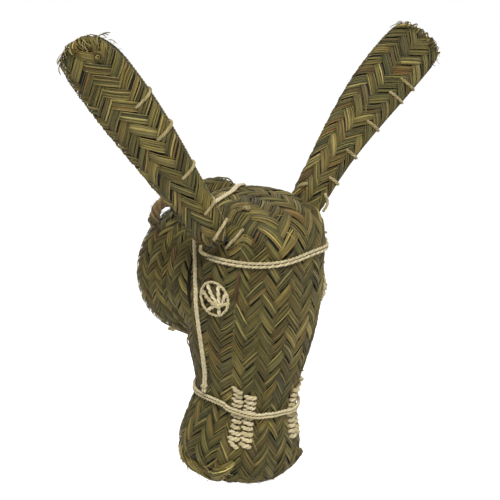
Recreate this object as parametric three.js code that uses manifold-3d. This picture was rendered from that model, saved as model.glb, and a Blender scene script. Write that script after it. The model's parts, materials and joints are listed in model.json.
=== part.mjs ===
// A wall-hung donkey head of braided esparto grass: flat plaits sewn edge to edge over a hollow
// head and neck, two folded plait ears, a cord halter, and eyes and nostrils sewn in cord.
// Millimetres, +Z up. The origin is the top of the neck's wall rim: the wall is the plane Y = 0,
// the neck runs towards -Y and the face looks along -Y, so the animal's right side is -X.
import * as THREE from 'three';
import { mergeVertices } from 'three/addons/utils/BufferGeometryUtils.js';
import Module from 'manifold-3d';

const wasm = await Module();
wasm.setup();

// ---- driving dimensions ----
const DEG = Math.PI / 180;
const PLAIT = 6;                 // thickness of one layer of plait
const GAP = 0.4;                 // clearance kept between neighbouring pieces
const SEAM = 1.3;                // half the clear width of a sewn seam between two bands
const SEAM_CORD = 0.9;           // radius of the grass cord that runs in each seam
const CORD = 1.8;                // radius of the pale halter and sewing cord
const NECK_RADIUS = 83;          // outside of the neck at the wall
const NECK_BAND = 58;            // width of one winding of neck plait
const NECK_TAPER = 3;            // each winding is this much smaller in radius than the last
const NECK_CROWN = 2;            // how far a winding bulges at mid width
const RIM_TOP = 79;              // from the neck's axis to the middle of its rim
const HEAD_CENTRE = new THREE.Vector3(0, -150, 47);   // of the browband ring, from the neck's axis
const HEAD_TILT = 10 * DEG;      // the muzzle hangs back towards the wall
const HEAD_RADIUS = 75;          // typical, to turn widths into angles round the head
const CROWN_EDGE = -27;          // stations are measured down the head from the browband ring
const CROWN_SLOPE = 9;           // the crown's edge is this much higher behind and lower in front
const CROWN_TOP = -63;
const CROWN_ROUNDING = 2.6;      // exponent of the dome's section: 2 is an ellipse
const JAW_DEPTH = 18;            // the jaw stands this far out behind the head
const JAW_STATION = 128;
const JAW_SPREAD = 62;
const MUZZLE_BACK = 246;         // lower edge of the head bands behind, at the mouth
const MUZZLE_FRONT = 269;        // and in front
const LIP_RADIUS = 10;
const LIP_HALF_ANGLE = 38;       // the upper lip spans this far each side of straight ahead
const FACE_HALF_ANGLE = 53;      // half the angle the face band wraps, from straight ahead
const BACK_HALF_ANGLE = 52;      // half the angle of the band that runs down behind
const EAR_LENGTH = 258;
const EAR_THICKNESS = 20;
const EAR_PLAIT = 5;
const BROW_STATION = -11;
const BROW_RISE = 7;             // the browband is drawn up this far across the forehead
const NOSE_STATION = 188;
const NOSE_RISE = 8;             // the headstall draws the noseband up on the right cheek
const EYE_ANGLE = 72;
const EYE_STATION = 47;
const EYE_RADIUS = 19.5;
const EYE_SPOKES = 7;
const NOSTRIL_ANGLE = 40;        // at its top stitch
const NOSTRIL_LEAN = 0.07;       // degrees that a nostril turns forwards for each mm down
const NOSTRIL_TOP = 158;
const NOSTRIL_STITCHES = 11;     // in the back column; the front one has one less
const NOSTRIL_PITCH = 6.9;       // from one stitch to the next
const NOSTRIL_CORD = 1.7;
const NOSTRIL_HALF_WIDTH = 4.4;  // of one column of stitches
const NOSTRIL_SHIFT = 6.9;       // each column's middle is this far from the nostril's middle
const HANGER_ANGLE = -35;        // where the hanging loop sits, from the top of the neck
const HANGER_DEPTH = -20;        // and how far it is from the wall
const HANGER_RADIUS = 13;
const HANGER_HEIGHT = 10;        // of its bend above its hinge line
const HANGER_ROPE = 5.5;
const STAPLE_REACH = 7.6;        // the staples stand this far outside the loop's bend

// station, half width (X), half depth (front to back) of the head
const HEAD_PROFILE = [
  [-48, 64, 68], [-36, 71, 76], [-10, 75, 81], [20, 77, 83], [55, 78, 84], [100, 73, 82],
  [150, 63, 73], [190, 57, 65], [214, 65, 68], [240, 75, 71], [262, 78, 71], [282, 73, 68],
];

// Each ear: where it is sewn to the head (angle, station, clearance of its centre line), the way
// it points, and the direction, as an angle from straight ahead, that its flat side faces.
const EARS = {
  right: {
    angle: -70, station: -25, lift: 14, faces: -50,
    direction: new THREE.Vector3(-0.53, 0.15, 0.83).normalize(),
  },
  left: {
    angle: 84, station: -62, lift: -2, faces: -28,
    direction: new THREE.Vector3(0.70, 0.07, 0.71).normalize(),
  },
};

// ---- colours ----
const GRASS = { color: 0x6f6a3c, roughness: 0.82, metalness: 0 };
const GRASS_DARK = { color: 0x5a5530, roughness: 0.85, metalness: 0 };
const GRASS_BROWN = { color: 0x8a5f2c, roughness: 0.8, metalness: 0 };
const CREAM_CORD = { color: 0xd2c49a, roughness: 0.75, metalness: 0 };
const GRASS_CORD = { color: 0xa89a68, roughness: 0.78, metalness: 0 };

const donkey = new THREE.Group();
const neckAxis = new THREE.Group();
neckAxis.position.z = -RIM_TOP;
donkey.add(neckAxis);

function add(name, geometry, finish, parent = neckAxis) {
  const mesh = new THREE.Mesh(geometry, new THREE.MeshStandardMaterial(finish));
  mesh.name = name;
  parent.add(mesh);
}

// ---- solids ----
function toSolid(geometry) {
  const bare = geometry.clone();
  bare.deleteAttribute('normal');
  bare.deleteAttribute('uv');
  const merged = mergeVertices(bare, 1e-3);
  const vertProperties = new Float32Array(merged.attributes.position.array);
  const triVerts = new Uint32Array(merged.index.array);
  return new wasm.Manifold(new wasm.Mesh({ numProp: 3, vertProperties, triVerts }));
}

function toGeometry(solid) {
  const mesh = solid.getMesh();
  const geometry = new THREE.BufferGeometry();
  geometry.setAttribute('position', new THREE.BufferAttribute(mesh.vertProperties, 3));
  geometry.setIndex(new THREE.BufferAttribute(mesh.triVerts, 1));
  return geometry;
}

function union(geometries) {
  return toGeometry(geometries.map(toSolid).reduce((all, next) => all.add(next)));
}

function cut(geometry, tool) {
  return toGeometry(toSolid(geometry).subtract(toSolid(tool)));
}

function mapVertices(geometry, place) {
  const position = geometry.attributes.position;
  const point = new THREE.Vector3();
  for (let i = 0; i < position.count; i++) {
    point.fromBufferAttribute(position, i);
    position.setXYZ(i, ...place(point).toArray());
  }
  geometry.computeVertexNormals();
  return geometry;
}

// A closed slab bent over a surface: place(u, v, depth) with u and v from 0 to 1, and depth
// 0 on the outer face and 1 on the inner face.
function slab(across, along, place) {
  const box = new THREE.BoxGeometry(1, 1, 1, across, along, 1);
  return mapVertices(box, (p) => place(p.x + 0.5, p.y + 0.5, 0.5 - p.z));
}

// A round cord through a list of points.
function cord(points, radius, steps, sides = 6) {
  const section = new THREE.Shape();
  section.absarc(0, 0, radius, 0, Math.PI * 2);
  const path = new THREE.CatmullRomCurve3(points, false, 'centripetal');
  return new THREE.ExtrudeGeometry(section, {
    steps, curveSegments: sides / 2, bevelEnabled: false, extrudePath: path,
  });
}

// A round cord that closes on itself: centre(angle) is its path and out(angle) points away
// from the surface that it lies on.
function cordRing(centre, out, radius, steps, sides = 6) {
  const ring = new THREE.TorusGeometry(10, radius, sides, steps);
  return mapVertices(ring, (p) => {
    const angle = Math.atan2(p.y, p.x);
    const here = centre(angle);
    const along = centre(angle + 0.01).sub(centre(angle - 0.01)).normalize();
    const away = out(angle);
    const side = new THREE.Vector3().crossVectors(away, along).normalize();
    const lift = Math.hypot(p.x, p.y) - 10;
    return here.addScaledVector(away, lift).addScaledVector(side, p.z);
  });
}

// ---- head surface ----
const DOWN = new THREE.Vector3(0, Math.sin(HEAD_TILT), -Math.cos(HEAD_TILT));
const FORWARD = new THREE.Vector3(0, -Math.cos(HEAD_TILT), -Math.sin(HEAD_TILT));

// Half width and half depth of the head at a station, by a cubic through the profile.
function headHalfSizes(station) {
  const rows = HEAD_PROFILE;
  const last = rows.length - 1;
  let i = rows.findIndex((row) => row[0] > station) - 1;
  if (i < 0) i = station <= rows[0][0] ? 0 : last - 1;
  const [before, start, end, after] = [i - 1, i, i + 1, i + 2]
    .map((k) => rows[Math.min(Math.max(k, 0), last)]);
  const span = end[0] - start[0];
  const t = Math.min(Math.max((station - start[0]) / span, -1), 1.5);
  return [1, 2].map((k) => {
    const slopeIn = (end[k] - before[k]) / (end[0] - before[0]) * span;
    const slopeOut = (after[k] - start[k]) / (after[0] - start[0]) * span;
    return (2 * t ** 3 - 3 * t ** 2 + 1) * start[k] + (t ** 3 - 2 * t ** 2 + t) * slopeIn
      + (3 * t ** 2 - 2 * t ** 3) * end[k] + (t ** 3 - t ** 2) * slopeOut;
  });
}

// How much deeper the head is behind, at the jaw.
function jawDepth(angle, station) {
  const behind = Math.max(-Math.cos(angle * DEG), 0);
  const near = Math.max(1 - ((station - JAW_STATION) / JAW_SPREAD) ** 2, 0);
  return JAW_DEPTH * Math.sqrt(behind) * near ** 2;
}

// A point on the head: angle in degrees from straight ahead (negative on the animal's right).
function onHead(angle, station, lift = 0) {
  const [halfWidth, depthHere] = headHalfSizes(station);
  const halfDepth = depthHere + jawDepth(angle, station);
  return HEAD_CENTRE.clone()
    .addScaledVector(DOWN, station)
    .addScaledVector(FORWARD, (halfDepth + lift) * Math.cos(angle * DEG))
    .add(new THREE.Vector3((halfWidth + lift) * Math.sin(angle * DEG), 0, 0));
}

function headOut(angle) {
  return FORWARD.clone().multiplyScalar(Math.cos(angle * DEG))
    .add(new THREE.Vector3(Math.sin(angle * DEG), 0, 0));
}

function crownEdge(angle) {
  return CROWN_EDGE + CROWN_SLOPE * Math.cos(angle * DEG);
}

function muzzleEdge(angle) {
  return MUZZLE_BACK + (MUZZLE_FRONT - MUZZLE_BACK) * (1 + Math.cos(angle * DEG)) / 2;
}

// One lengthwise band of plait down the head, between two angles.
function headBand(fromAngle, toAngle, columns) {
  return slab(columns, 20, (u, v, depth) => {
    const angle = fromAngle + (toAngle - fromAngle) * u;
    const edge = (u === 0 ? SEAM : u === 1 ? -SEAM : 0) / HEAD_RADIUS / DEG;
    const bottom = muzzleEdge(angle);
    return onHead(angle + edge, bottom + (crownEdge(angle) - bottom) * v, -PLAIT * depth);
  });
}

// A turned disc or dome about the head's axis; its profile is [share of the half size, station].
function headTurned(profile, sides = 40) {
  const points = profile.map(([share, station]) => new THREE.Vector2(share, -station));
  const turned = new THREE.LatheGeometry(points, sides);
  return mapVertices(turned, (p) => {
    const share = Math.hypot(p.x, p.z);
    const [halfWidth, halfDepth] = headHalfSizes(Math.max(-p.y, CROWN_EDGE));
    const angle = Math.atan2(p.x, p.z);
    return HEAD_CENTRE.clone()
      .addScaledVector(DOWN, -p.y)
      .addScaledVector(FORWARD, share * halfDepth * Math.cos(angle))
      .add(new THREE.Vector3(share * halfWidth * Math.sin(angle), 0, 0));
  });
}

// The whole head as one solid, a little larger than the plait, to cut its neighbours with.
function headBulk(lift) {
  const top = CROWN_TOP + 3;
  const length = MUZZLE_FRONT - top;
  const bulk = new THREE.CylinderGeometry(1, 1, length, 48, 16);
  return mapVertices(bulk, (p) => {
    const station = top + length / 2 - p.y;
    const onAxis = Math.hypot(p.x, p.z) < 0.5;
    if (onAxis) return HEAD_CENTRE.clone().addScaledVector(DOWN, station);
    return onHead(Math.atan2(p.x, p.z) / DEG, station, lift);
  });
}

function buildHeadBands() {
  const backEdge = 180 - BACK_HALF_ANGLE;
  add('face_band', headBand(-FACE_HALF_ANGLE, FACE_HALF_ANGLE, 14), GRASS);
  add('right_cheek_band', headBand(-backEdge, -FACE_HALF_ANGLE, 10), GRASS);
  add('left_cheek_band', headBand(FACE_HALF_ANGLE, backEdge, 10), GRASS);
  add('back_band', headBand(backEdge, 360 - backEdge, 14), GRASS_DARK);
}

// The sewing cord that lies between two neighbouring bands, at mid thickness.
function buildHeadSeams() {
  const backEdge = 180 - BACK_HALF_ANGLE;
  const seams = {
    right_face_seam_cord: -FACE_HALF_ANGLE, left_face_seam_cord: FACE_HALF_ANGLE,
    right_back_seam_cord: -backEdge, left_back_seam_cord: backEdge,
  };
  for (const [name, angle] of Object.entries(seams)) {
    const top = crownEdge(angle) + 4;
    const length = muzzleEdge(angle) - 4 - top;
    const path = [];
    for (let i = 0; i <= 12; i++) path.push(onHead(angle, top + length * i / 12, -PLAIT / 2));
    add(name, cord(path, SEAM_CORD, 24, 5), GRASS_CORD);
  }
}

// ---- crown ----
function domeStation(share, angle) {
  const drop = 1 - (1 - Math.min(share, 1) ** CROWN_ROUNDING) ** (1 / CROWN_ROUNDING);
  return CROWN_TOP + (crownEdge(angle) - SEAM - CROWN_TOP) * drop;
}

// The face plait goes on over the top of the head; this is its part above the rim.
function buildCrown() {
  const rings = 9;
  const inner = 1 - PLAIT / HEAD_RADIUS;
  const profile = [];
  const share = (i) => Math.sin(Math.PI / 2 * i / rings);
  for (let i = 0; i <= rings; i++) profile.push(new THREE.Vector2(share(i) * inner, 0));
  for (let i = rings; i >= 0; i--) profile.push(new THREE.Vector2(share(i), 1));
  const dome = mapVertices(new THREE.LatheGeometry(profile, 40), (p) => {
    const angle = Math.atan2(p.x, p.z) / DEG;
    const share = Math.hypot(p.x, p.z);
    if (p.y === 1) return onCrown(angle, share, 0);
    const depth = Math.min(PLAIT, crownEdge(angle) - SEAM - domeStation(share, angle));
    return onCrown(angle, share, -depth);
  });
  add('crown_cap', dome, GRASS);
  const knotRadius = 5.5;
  const knot = new THREE.IcosahedronGeometry(knotRadius, 1);
  knot.translate(...onCrown(-59, 0.68, knotRadius + 2 * GAP).toArray());
  add('crown_knot', knot, GRASS_CORD);
}

// A point above the crown: share 0 is its centre and 1 its edge.
function onCrown(angle, share, lift) {
  const [halfWidth, halfDepth] = headHalfSizes(crownEdge(angle));
  return HEAD_CENTRE.clone()
    .addScaledVector(DOWN, domeStation(share, angle) - lift)
    .addScaledVector(FORWARD, share * halfDepth * Math.cos(angle * DEG))
    .add(new THREE.Vector3(share * halfWidth * Math.sin(angle * DEG), 0, 0));
}

// The end of the neck plait, folded over the poll behind the crown.
function buildPollFold() {
  const pathRadius = NECK_RADIUS + 23;
  const path = [-36, -26, -16, -4, 8].map((a) => new THREE.Vector3(
    pathRadius * Math.sin(a * DEG), -62, pathRadius * Math.cos(a * DEG)));
  const section = new THREE.Shape();
  section.absellipse(0, 0, 20, 14, 0, Math.PI * 2);
  const fold = new THREE.ExtrudeGeometry(section, {
    steps: 12, curveSegments: 7, bevelEnabled: false,
    extrudePath: new THREE.CatmullRomCurve3(path),
  });
  add('poll_fold', cut(fold, headBulk(GAP + 0.3)), GRASS);
}

// ---- neck ----
// One winding of plait round the neck; winding 0 stands against the wall.
function neckWinding(index) {
  const outer = NECK_RADIUS - NECK_TAPER * index;
  const farOuter = outer - NECK_TAPER / 2;
  const near = -NECK_BAND * index - (index ? SEAM : 0);
  const far = -NECK_BAND * (index + 1) + SEAM;
  const profile = [
    [outer - PLAIT, near], [outer - NECK_CROWN, near], [outer, (near + far) / 2],
    [farOuter - NECK_CROWN, far], [farOuter - PLAIT, far], [outer - PLAIT, near],
  ].map(([r, y]) => new THREE.Vector2(r, y));
  return new THREE.LatheGeometry(profile.reverse(), 44);
}

function onNeck(angle, y, radius) {
  return new THREE.Vector3(radius * Math.sin(angle * DEG), y, radius * Math.cos(angle * DEG));
}

function buildNeck() {
  const head = headBulk(GAP + 0.3);
  add('neck_wall_band', cut(neckWinding(0), head), GRASS);
  add('neck_head_band', cut(neckWinding(1), head), GRASS);
  const seamRadius = NECK_RADIUS - NECK_TAPER / 2 - PLAIT / 2;
  const seam = cordRing(
    (a) => onNeck(a / DEG, -NECK_BAND, seamRadius),
    (a) => onNeck(a / DEG, 0, 1), SEAM_CORD, 44, 5);
  add('neck_seam_cord', cut(seam, head), GRASS_CORD);
  const knotRadius = 6.5;
  const knot = new THREE.IcosahedronGeometry(knotRadius, 1);
  knot.translate(...onNeck(-137, -48, NECK_RADIUS + knotRadius).toArray());
  add('neck_knot', knot, GRASS_CORD);
}

// ---- muzzle ----
function buildMuzzle() {
  const lipPoints = [];
  for (let i = 0; i <= 20; i++) {
    const angle = LIP_HALF_ANGLE + 5 + (350 - 2 * LIP_HALF_ANGLE) * i / 20;
    const drop = 14 + 3 * (1 - Math.cos(angle * DEG)) / 2;
    lipPoints.push(onHead(angle, muzzleEdge(angle) + drop, -LIP_RADIUS));
  }
  add('lower_lip_roll', cord(lipPoints, LIP_RADIUS, 40, 6), GRASS);

  const upperLip = slab(12, 5, (u, v, depth) => {
    const angle = LIP_HALF_ANGLE * (2 * u - 1);
    const turn = (1 - v) * 75 * DEG;
    const radius = 18 - PLAIT * depth;
    return onHead(angle, muzzleEdge(angle) + 1 + radius * Math.sin(turn),
      radius * Math.cos(turn) - 18);
  });
  add('upper_lip_band', upperLip, GRASS);

  const soleShare = 0.7;
  const soleTop = MUZZLE_FRONT + 3;
  const sole = headTurned([
    [0, soleTop + PLAIT], [soleShare, soleTop + PLAIT], [soleShare, soleTop], [0, soleTop],
  ], 32);
  add('muzzle_sole_coil', sole, GRASS_DARK);
}

// ---- ears ----
function earHalfWidth(share) {
  const spread = THREE.MathUtils.smoothstep(share, 0, 0.78);
  const tip = THREE.MathUtils.smoothstep(share, 0.9, 1);
  return 22 + 14 * spread - 4 * tip;
}

// A plait folded lengthwise: its section is a flat ring, open along the sewn edge.
function earPlait() {
  const slit = 11 * DEG;
  return slab(20, 14, (u, v, depth) => {
    const around = slit + (Math.PI * 2 - 2 * slit) * u;
    const inset = EAR_PLAIT * depth;
    return new THREE.Vector3(
      (earHalfWidth(v) - inset) * Math.cos(around),
      (EAR_THICKNESS / 2 - inset) * Math.sin(around),
      -4 + (EAR_LENGTH + 4) * v);
  });
}

// The cord sewn along the open edge: it runs in the slit and wraps over the front at intervals.
function earSeam() {
  const radius = 1.3;
  const edge = (share) => new THREE.Vector3(
    earHalfWidth(share) + 1, 0, EAR_LENGTH * share);
  const run = [];
  for (let i = 0; i <= 8; i++) run.push(edge(0.06 + 0.88 * i / 8));
  const pieces = [cord(run, radius, 16, 5)];
  for (const share of [0.16, 0.36, 0.56, 0.76]) {
    const start = edge(share);
    const lift = EAR_THICKNESS / 2 + radius + GAP;
    const half = earHalfWidth(share);
    const wrap = [0.1, 0.35, 0.62, 0.95].map((turn) => new THREE.Vector3(
      (half + radius + GAP) * Math.cos(turn), -lift * Math.sin(turn), start.z - 9 * turn));
    pieces.push(cord([start, ...wrap], radius, 6, 5));
  }
  return union(pieces);
}

// Two cord staples tie each ear to the head, one at each end of its hinge line.
function earStaple(side) {
  const arc = [];
  const centre = side * (earHalfWidth(0.02) + CORD + 1.6);
  for (let i = 0; i <= 6; i++) {
    const turn = Math.PI * i / 6;
    arc.push(new THREE.Vector3(centre, -8 * Math.cos(turn), -3 + 8 * Math.sin(turn)));
  }
  return cord(arc, CORD, 8, 6);
}

function buildEars() {
  for (const [side, ear] of Object.entries(EARS)) {
    const up = ear.direction;
    const facing = new THREE.Vector3(Math.sin(ear.faces * DEG), -Math.cos(ear.faces * DEG), 0);
    const front = facing.addScaledVector(up, -facing.dot(up)).normalize();
    const across = new THREE.Vector3().crossVectors(up, front).normalize();
    const place = new THREE.Group();
    place.position.copy(onHead(ear.angle, ear.station, ear.lift));
    place.quaternion.setFromRotationMatrix(
      new THREE.Matrix4().makeBasis(across, front.clone().negate(), up));
    neckAxis.add(place);
    add(`${side}_ear_plait`, earPlait(), GRASS, place);
    add(`${side}_ear_seam_cord`, earSeam(), GRASS_CORD, place);
    add(`${side}_ear_inner_stitch`, earStaple(1), GRASS_CORD, place);
    add(`${side}_ear_outer_stitch`, earStaple(-1), GRASS_CORD, place);
  }
}

// ---- hanging loop ----
// The loop's two ends turn outwards along its hinge line and lie under a cord staple each.
function buildHanger() {
  const axisRadius = NECK_RADIUS + HANGER_ROPE + 2.2;
  const place = new THREE.Group();
  place.position.copy(onNeck(HANGER_ANGLE, HANGER_DEPTH, axisRadius));
  place.rotation.y = HANGER_ANGLE * DEG;
  neckAxis.add(place);
  const end = HANGER_RADIUS + STAPLE_REACH + 3;
  const path = [new THREE.Vector3(end, 0, 0)];
  for (let i = 0; i <= 8; i++) {
    const turn = Math.PI * i / 8;
    path.push(new THREE.Vector3(
      HANGER_RADIUS * Math.cos(turn), 0, 3 + HANGER_HEIGHT * Math.sin(turn)));
  }
  path.push(new THREE.Vector3(-end, 0, 0));
  add('hanging_loop', cord(path, HANGER_ROPE, 26, 8), GRASS_BROWN, place);
  for (const [name, side] of [['loop_right_staple', -1], ['loop_left_staple', 1]]) {
    const radius = HANGER_ROPE + 2 * GAP + CORD;
    const arc = [];
    for (let i = 0; i <= 6; i++) {
      const turn = Math.PI * i / 6;
      arc.push(new THREE.Vector3(side * (HANGER_RADIUS + STAPLE_REACH),
        radius * Math.cos(turn), radius * Math.sin(turn)));
    }
    add(name, cord(arc, CORD, 8, 6), GRASS_CORD, place);
  }
}

// ---- halter ----
// The cord is lifted where it crosses the nostril stitches.
function noseLift(angle) {
  const off = Math.abs(Math.abs(angle) - NOSTRIL_ANGLE + 2);
  return CORD + 3 * GAP + 4.6 * (1 - THREE.MathUtils.smoothstep(off, 16, 24));
}

function bump(angle, middle, spread) {
  return Math.exp(-(((angle - middle) / spread) ** 2));
}

function noseStation(angle) {
  return NOSE_STATION - NOSE_RISE * bump(angle, -70, 35);
}

function buildHalter() {
  const spacing = 2 * CORD + GAP;
  for (const [name, row] of [['noseband_upper_cord', 0], ['noseband_lower_cord', 1]]) {
    const ring = cordRing((a) => {
      const angle = THREE.MathUtils.euclideanModulo(a / DEG + 180, 360) - 180;
      return onHead(angle, noseStation(angle) + row * spacing, noseLift(angle));
    }, (a) => headOut(a / DEG), CORD, 60);
    add(name, ring, CREAM_CORD);
  }
  const browEnd = 105;
  const browRuns = { browband_upper_cord: [-96, 0], browband_lower_cord: [-86, 1] };
  for (const [name, [start, row]] of Object.entries(browRuns)) {
    const path = [];
    for (let i = 0; i <= 16; i++) {
      const angle = start + (browEnd - start) * i / 16;
      const station = BROW_STATION - 6 * Math.sin(angle * DEG)
        + 4.5 * (1 - Math.cos(angle * DEG)) - BROW_RISE * bump(angle, 15, 28) + row * spacing;
      path.push(onHead(angle, station, CORD + GAP));
    }
    add(name, cord(path, CORD, 40), CREAM_CORD);
  }
}

// The headstall: one cord laid double, from a knot on the noseband up the right cheek, slantwise
// over the back of the crown, and down the other cheek behind the left ear.
function buildHeadstall() {
  const cheek = [[82, 172, 7.4], [83, 150, 4.4], [86, 110, 3.4], [92, 60, 3.2], [98, 25, 3.2]];
  const overRight = [[103, 4, 3.8], [105, -16, 6]];
  const overLeft = [[107, 4, 3.6], [117, -16, 5.4]];
  const pollRight = [
    [104, 0.95, 9.5], [104, 0.8, 6.6], [112, 0.63, 4.4], [143, 0.5, 4.2], [176, 0.64, 4.2],
  ];
  const pollLeft = [[129, 0.96, 7.6], [142, 0.86, 5.6], [160, 0.8, 4.4]];
  const knot = 4.2;
  const strand = (shift) => {
    const onSide = (side, over, poll) => [
      onHead(side * (82 + shift), noseStation(side * 82) - 1, 10),
      ...[...cheek, ...over].map(([angle, station, lift]) => onHead(
        side * (angle + shift), station, lift)),
      ...poll.map(([angle, share, lift]) => onCrown(side * angle, share - shift * 0.02, lift)),
    ];
    const right = onSide(-1, overRight, pollRight);
    const left = onSide(1, overLeft, pollLeft);
    return cord([...right, ...left.reverse()], CORD, 72);
  };
  const knots = [-1, 1].map((side) => {
    const ball = new THREE.IcosahedronGeometry(knot, 1);
    ball.translate(...onHead(side * 82, noseStation(side * 82) + 1, 10).toArray());
    return ball;
  });
  add('headstall_cord', union([strand(-1.5), strand(1.5), ...knots]), CREAM_CORD);
}

// ---- eyes and nostrils ----
// A point on the eye patch: polar about the eye's centre, on the head's surface.
function onEye(side, turn, radius, lift) {
  const angle = EYE_ANGLE + radius * Math.sin(turn) / 80 / DEG;
  return onHead(side * angle, EYE_STATION - radius * Math.cos(turn), lift);
}

function buildEyes() {
  const lift = CORD + GAP;
  const reach = EYE_RADIUS - 2 * CORD - 2 * GAP;
  for (const [name, side] of [['right_eye', -1], ['left_eye', 1]]) {
    const ring = cordRing((turn) => onEye(side, side * turn, EYE_RADIUS, lift),
      () => headOut(side * EYE_ANGLE), CORD, 28);
    add(`${name}_ring`, ring, CREAM_CORD);
    const hub = onEye(side, Math.PI * 0.75, 4, lift + 1);
    const rays = [];
    for (let i = 0; i < EYE_SPOKES; i++) {
      const turn = Math.PI * 2 * (i + 0.3) / EYE_SPOKES;
      const bend = onEye(side, turn, reach * 0.6, lift + 2 * GAP);
      rays.push(cord([hub, bend, onEye(side, turn, reach, lift)], CORD, 4, 6));
    }
    add(`${name}_spokes`, union(rays), CREAM_CORD);
  }
}

// Each nostril is two columns of cord laid back and forth.
function nostrilColumn(side, shift, first) {
  const path = [];
  for (let i = first; i < NOSTRIL_STITCHES; i++) {
    const station = NOSTRIL_TOP + NOSTRIL_PITCH * i;
    const [half] = headHalfSizes(station);
    const middle = NOSTRIL_ANGLE - NOSTRIL_LEAN * (station - NOSTRIL_TOP);
    for (const [end, slant] of [[-1, 0], [1, 1.2]]) {
      const angle = middle + (shift + end * NOSTRIL_HALF_WIDTH) / half / DEG;
      path.push(onHead(side * angle, station + slant, NOSTRIL_CORD + 2 * GAP));
    }
  }
  return cord(path, NOSTRIL_CORD, 66, 5);
}

function buildNostrils() {
  for (const [name, side] of [['right_nostril', -1], ['left_nostril', 1]]) {
    add(`${name}_front_stitches`, nostrilColumn(side, -NOSTRIL_SHIFT, 1), CREAM_CORD);
    add(`${name}_back_stitches`, nostrilColumn(side, NOSTRIL_SHIFT, 0), CREAM_CORD);
  }
}

// A few loose brown blades that hang from the browband over the face seam.
function buildTuft() {
  const path = [14, 24, 34, 44].map((station) => onHead(-FACE_HALF_ANGLE, station, 2.6));
  add('brow_tuft', cord(path, 2, 6, 5), GRASS_BROWN);
}

buildHeadBands();
buildHeadSeams();
buildCrown();
buildPollFold();
buildNeck();
buildMuzzle();
buildEars();
buildHanger();
buildHalter();
buildHeadstall();
buildEyes();
buildNostrils();
buildTuft();

export default donkey;
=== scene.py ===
"""Looks of a wall-hung donkey head of braided esparto grass.

Every CAD solid is a plain shell or tube. Here each one is replaced by the thing itself: plaits of
separate grass blades that lie over the CAD surfaces, and cords of twisted plies that follow the
CAD cords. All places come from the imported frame. Metres, +Z up, the face looks along -Y.
"""
import json
import math

import bpy
import numpy as np
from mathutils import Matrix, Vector
from mathutils.bvhtree import BVHTree

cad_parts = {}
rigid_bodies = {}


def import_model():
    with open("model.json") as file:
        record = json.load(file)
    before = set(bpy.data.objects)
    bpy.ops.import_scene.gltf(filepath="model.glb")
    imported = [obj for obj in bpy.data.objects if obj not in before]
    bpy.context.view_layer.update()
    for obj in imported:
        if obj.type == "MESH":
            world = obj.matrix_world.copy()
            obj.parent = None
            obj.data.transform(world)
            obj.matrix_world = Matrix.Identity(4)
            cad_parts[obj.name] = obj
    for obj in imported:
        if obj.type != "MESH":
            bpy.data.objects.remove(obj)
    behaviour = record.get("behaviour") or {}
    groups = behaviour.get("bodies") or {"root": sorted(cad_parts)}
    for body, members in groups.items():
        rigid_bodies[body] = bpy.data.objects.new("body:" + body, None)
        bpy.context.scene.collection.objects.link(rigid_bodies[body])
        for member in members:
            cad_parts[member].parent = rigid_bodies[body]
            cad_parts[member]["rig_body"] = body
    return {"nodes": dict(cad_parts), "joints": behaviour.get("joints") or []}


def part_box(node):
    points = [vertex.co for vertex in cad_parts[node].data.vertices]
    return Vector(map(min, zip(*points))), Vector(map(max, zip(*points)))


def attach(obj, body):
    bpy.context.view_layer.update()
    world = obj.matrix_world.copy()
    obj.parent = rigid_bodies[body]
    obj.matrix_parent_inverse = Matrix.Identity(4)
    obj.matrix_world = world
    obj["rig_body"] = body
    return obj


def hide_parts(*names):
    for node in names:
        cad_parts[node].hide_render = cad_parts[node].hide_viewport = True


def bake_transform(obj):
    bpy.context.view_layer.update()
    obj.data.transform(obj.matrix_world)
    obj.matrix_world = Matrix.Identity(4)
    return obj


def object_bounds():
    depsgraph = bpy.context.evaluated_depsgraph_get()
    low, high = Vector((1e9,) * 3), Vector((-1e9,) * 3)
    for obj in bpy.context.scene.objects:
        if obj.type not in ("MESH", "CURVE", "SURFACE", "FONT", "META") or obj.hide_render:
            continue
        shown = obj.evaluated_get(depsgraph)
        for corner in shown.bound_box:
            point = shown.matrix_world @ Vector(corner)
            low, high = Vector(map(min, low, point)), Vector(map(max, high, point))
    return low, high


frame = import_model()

CAD_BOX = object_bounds()
MM = 0.001
TAU = 2 * math.pi

# ---- the plait, in metres ----
COLUMN = 16.5 * MM        # width of one zigzag column of a plait
ROW = 19.0 * MM           # distance from one float to the next along a column
BLADES = 9                # grass blades side by side in one strand
CROWNING = 0.8 * MM       # how far a float stands above the plait's middle surface
DIVE = 3.4 * MM           # how far its ends sink under the neighbouring strands
TILT = 2.4 * MM           # how far one edge of a float's end lies under the next column's strand
DIVE_SHADE = 0.74                # painted shade: how much darker the grass is painted where it dives under its neighbours
OVERREACH = 0.34          # share of a float's length that is hidden under its neighbours
EDGE_RADIUS = 2.6 * MM    # how tightly strands turn over the edge of a plait
UNDER = 2.2 * MM          # depth of the layer below the floats, coloured near-black as painted shade
INSET = 0.6 * MM          # how far the middle surface of a plait lies inside its CAD shell
DOMING = 2.6 * MM         # a strand's edges lie a quarter of this below its middle
UNEVEN = 0.22 * MM        # how unevenly high single blades lie
SPREAD = 0.9              # share of a strand's width over which its blades are spaced
OVERLAP = 1.15            # width of a blade as a share of the room it has
SLIMMING = 0.34           # how much narrower a blade is where it dives
WIDEST = 1.35             # the widest strand, as a share of the usual one
STRAND_TINT = 0.4         # how far the blades of one strand share a colour
HAIR = 0.09 * MM          # half width of a usual hair on a cord
HALTER_RADIUS = 1.75 * MM

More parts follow.
